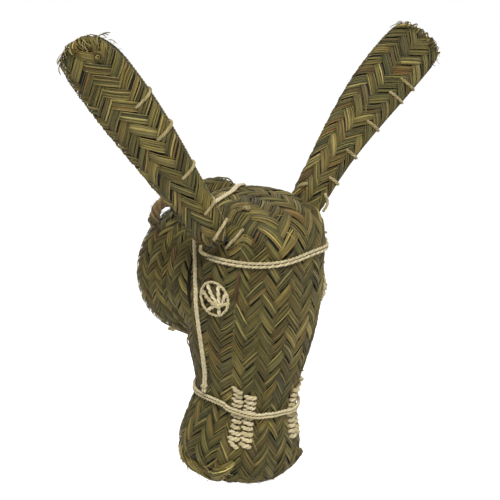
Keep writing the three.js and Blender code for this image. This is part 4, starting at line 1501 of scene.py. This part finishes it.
def build_nostrils():
    """Each stitch is a fat turn of cord that lies across its column."""
    seed = 210
    for side in ("right", "left"):
        for part in ("front", "back"):
            node = f"{side}_nostril_{part}_stitches"
            angle, station, _ = head_polar(vertices(node))
            number = 11 if part == "back" else 10
            step = (station.max() - station.min() - 4.6 * MM) / (number - 1)
            rng = np.random.default_rng(seed)
            bundle = Bundle()
            for i in range(number):
                s = station.min() + 2.3 * MM + step * i
                near = np.abs(station - s) < step * 0.7
                wider = (1.3 if part == "front" else 0.3) * MM / MUZZLE_RADIUS
                left, right = angle[near].min() - wider, angle[near].max() + wider
                slant = rng.normal(0.9, 0.6) * MM
                if part == "back" and i in (0, number - 1):
                    slant += 3 * MM
                turn = np.linspace(0, 1, 7)
                lift = (-1.4 + 4.1 * np.sin(turn * math.pi) ** 0.5) * MM
                path = HEAD.at(left + (right - left) * turn, s + slant * (turn - 0.5) * 2, lift)
                twisted_cord(bundle, path, rng.uniform(2.7, 3.2) * MM, rng, pitch=3.6, hairs=0.6)
            finish_cord(bundle, node, "cream_cord")
            seed += 1


def build_tuft():
    """Loose brown blades that hang from the browband."""
    points = vertices("brow_tuft")
    angle, station, _ = head_polar(points)
    rng = np.random.default_rng(220)
    number = 7
    starts = rng.normal(angle.mean(), 0.014, number)
    turn = np.linspace(0, 1, 7)
    top, low = station.min() - 6 * MM, station.max() + 3 * MM
    bundle = Bundle()
    ends = low - np.abs(rng.normal(0, 6 * MM, number))
    swing = rng.normal(0, 0.03, number)
    s = top + (ends - top)[:, None] * turn
    a = starts[:, None] + swing[:, None] * turn**2
    lift = (1.8 + rng.uniform(0, 2.2, (number, 1)) + 0 * turn) * MM
    paths = HEAD.at(a, s, lift)
    widths = 0.8 * MM * rng.uniform(0.6, 1.4, (number, 1)) * (1 - 0.5 * turn**2)
    colours = np.array(BROWN)[rng.integers(3, size=number)] * rng.normal(0.5, 0.12, (number, 1))
    bundle.tubes(paths, head_out(a), widths, widths * 0.5, BLADE_SECTION, colours, rng)
    bundle.piece("brow_tuft", GRASS_MATERIAL, "brown_grass_rope", "brow_tuft_blades")


build_face()
build_other_bands()
build_head_seams()
build_knots()
build_neck()
build_neck_seam()
build_poll_fold()
build_lower_lip()
build_sole()
build_ears()
build_ear_cords()
build_hanger()
build_halter()
build_headstall()
build_eyes()
build_nostrils()
build_tuft()


# ======== stage ========
def camera_only(tree, otherwise, seen):
    """One strength for light that reaches the object, and another as the camera sees it."""
    camera_ray = add_node(tree, "ShaderNodeLightPath").outputs["Is Camera Ray"]
    return add_node(tree, "ShaderNodeMapRange", {
        "Value": camera_ray, "To Min": otherwise, "To Max": seen}).outputs[0]


def build_stage():
    material, tree, shader = new_material("pale_floor")
    grain = add_node(tree, "ShaderNodeTexNoise", {"Scale": 6.0, "Detail": 2.0})
    tone = add_node(tree, "ShaderNodeMapRange", {
        "Value": grain.outputs[0], "To Min": 0.86, "To Max": 0.9})
    tree.links.new(tone.outputs[0], shader.inputs["Base Color"])
    shader.inputs["Roughness"].default_value = 0.9
    shader.inputs["Emission Color"].default_value = (1, 1, 1, 1)
    tree.links.new(camera_only(tree, 0.0, 0.75), shader.inputs["Emission Strength"])
    size, drop = 14.0, 0.22
    z = CAD_BOX[0][2] - drop
    mesh = bpy.data.meshes.new("floor")
    mesh.from_pydata([(-size, -size, z), (size, -size, z), (size, size, z), (-size, size, z)], [],
                     [(0, 1, 2, 3)])
    mesh.materials.append(material)
    floor = bpy.data.objects.new("floor", mesh)
    bpy.context.scene.collection.objects.link(floor)
    world = bpy.data.worlds.new("studio")
    bpy.context.scene.world = world
    world.use_nodes = True
    background = world.node_tree.nodes["Background"]
    background.inputs[0].default_value = (1.0, 1.0, 1.0, 1)
    world.node_tree.links.new(camera_only(world.node_tree, 0.34, 1.0), background.inputs[1])


def add_light(name, place, target, size, power):
    light = bpy.data.lights.new(name, "AREA")
    light.size = size
    light.energy = power
    lamp = bpy.data.objects.new(name, light)
    lamp.location = place
    lamp.rotation_euler = (Vector(target) - Vector(place)).to_track_quat("-Z", "Y").to_euler()
    bpy.context.scene.collection.objects.link(lamp)


CAMERA_DISTANCE = 1.7
CAMERA_AIM = (0.0, -0.140, -0.109)
CAMERA_VIEW = 0.600                   # metres across the picture at the aim point
CAMERA_SHIFT = (-0.0094, 0.1164)      # the aim point stands off the middle of the picture


def build_camera():
    back = Vector(FRONT)
    camera = bpy.data.objects.new("camera", bpy.data.cameras.new("camera"))
    camera.data.lens = camera.data.sensor_width * CAMERA_DISTANCE / CAMERA_VIEW
    camera.data.shift_x, camera.data.shift_y = CAMERA_SHIFT
    camera.location = Vector(CAMERA_AIM) + back * CAMERA_DISTANCE
    camera.rotation_euler = back.to_track_quat("Z", "Y").to_euler()
    bpy.context.scene.collection.objects.link(camera)
    bpy.context.scene.camera = camera


def build_lights():
    add_light("key", (-0.9, -1.5, 1.7), CAMERA_AIM, 0.7, 46)
    add_light("fill", (1.6, -1.1, 0.6), CAMERA_AIM, 1.6, 9)
    add_light("back", (0.4, 1.5, 1.4), CAMERA_AIM, 1.5, 10)


build_stage()
build_camera()
build_lights()
bpy.context.scene.view_settings.view_transform = "Standard"
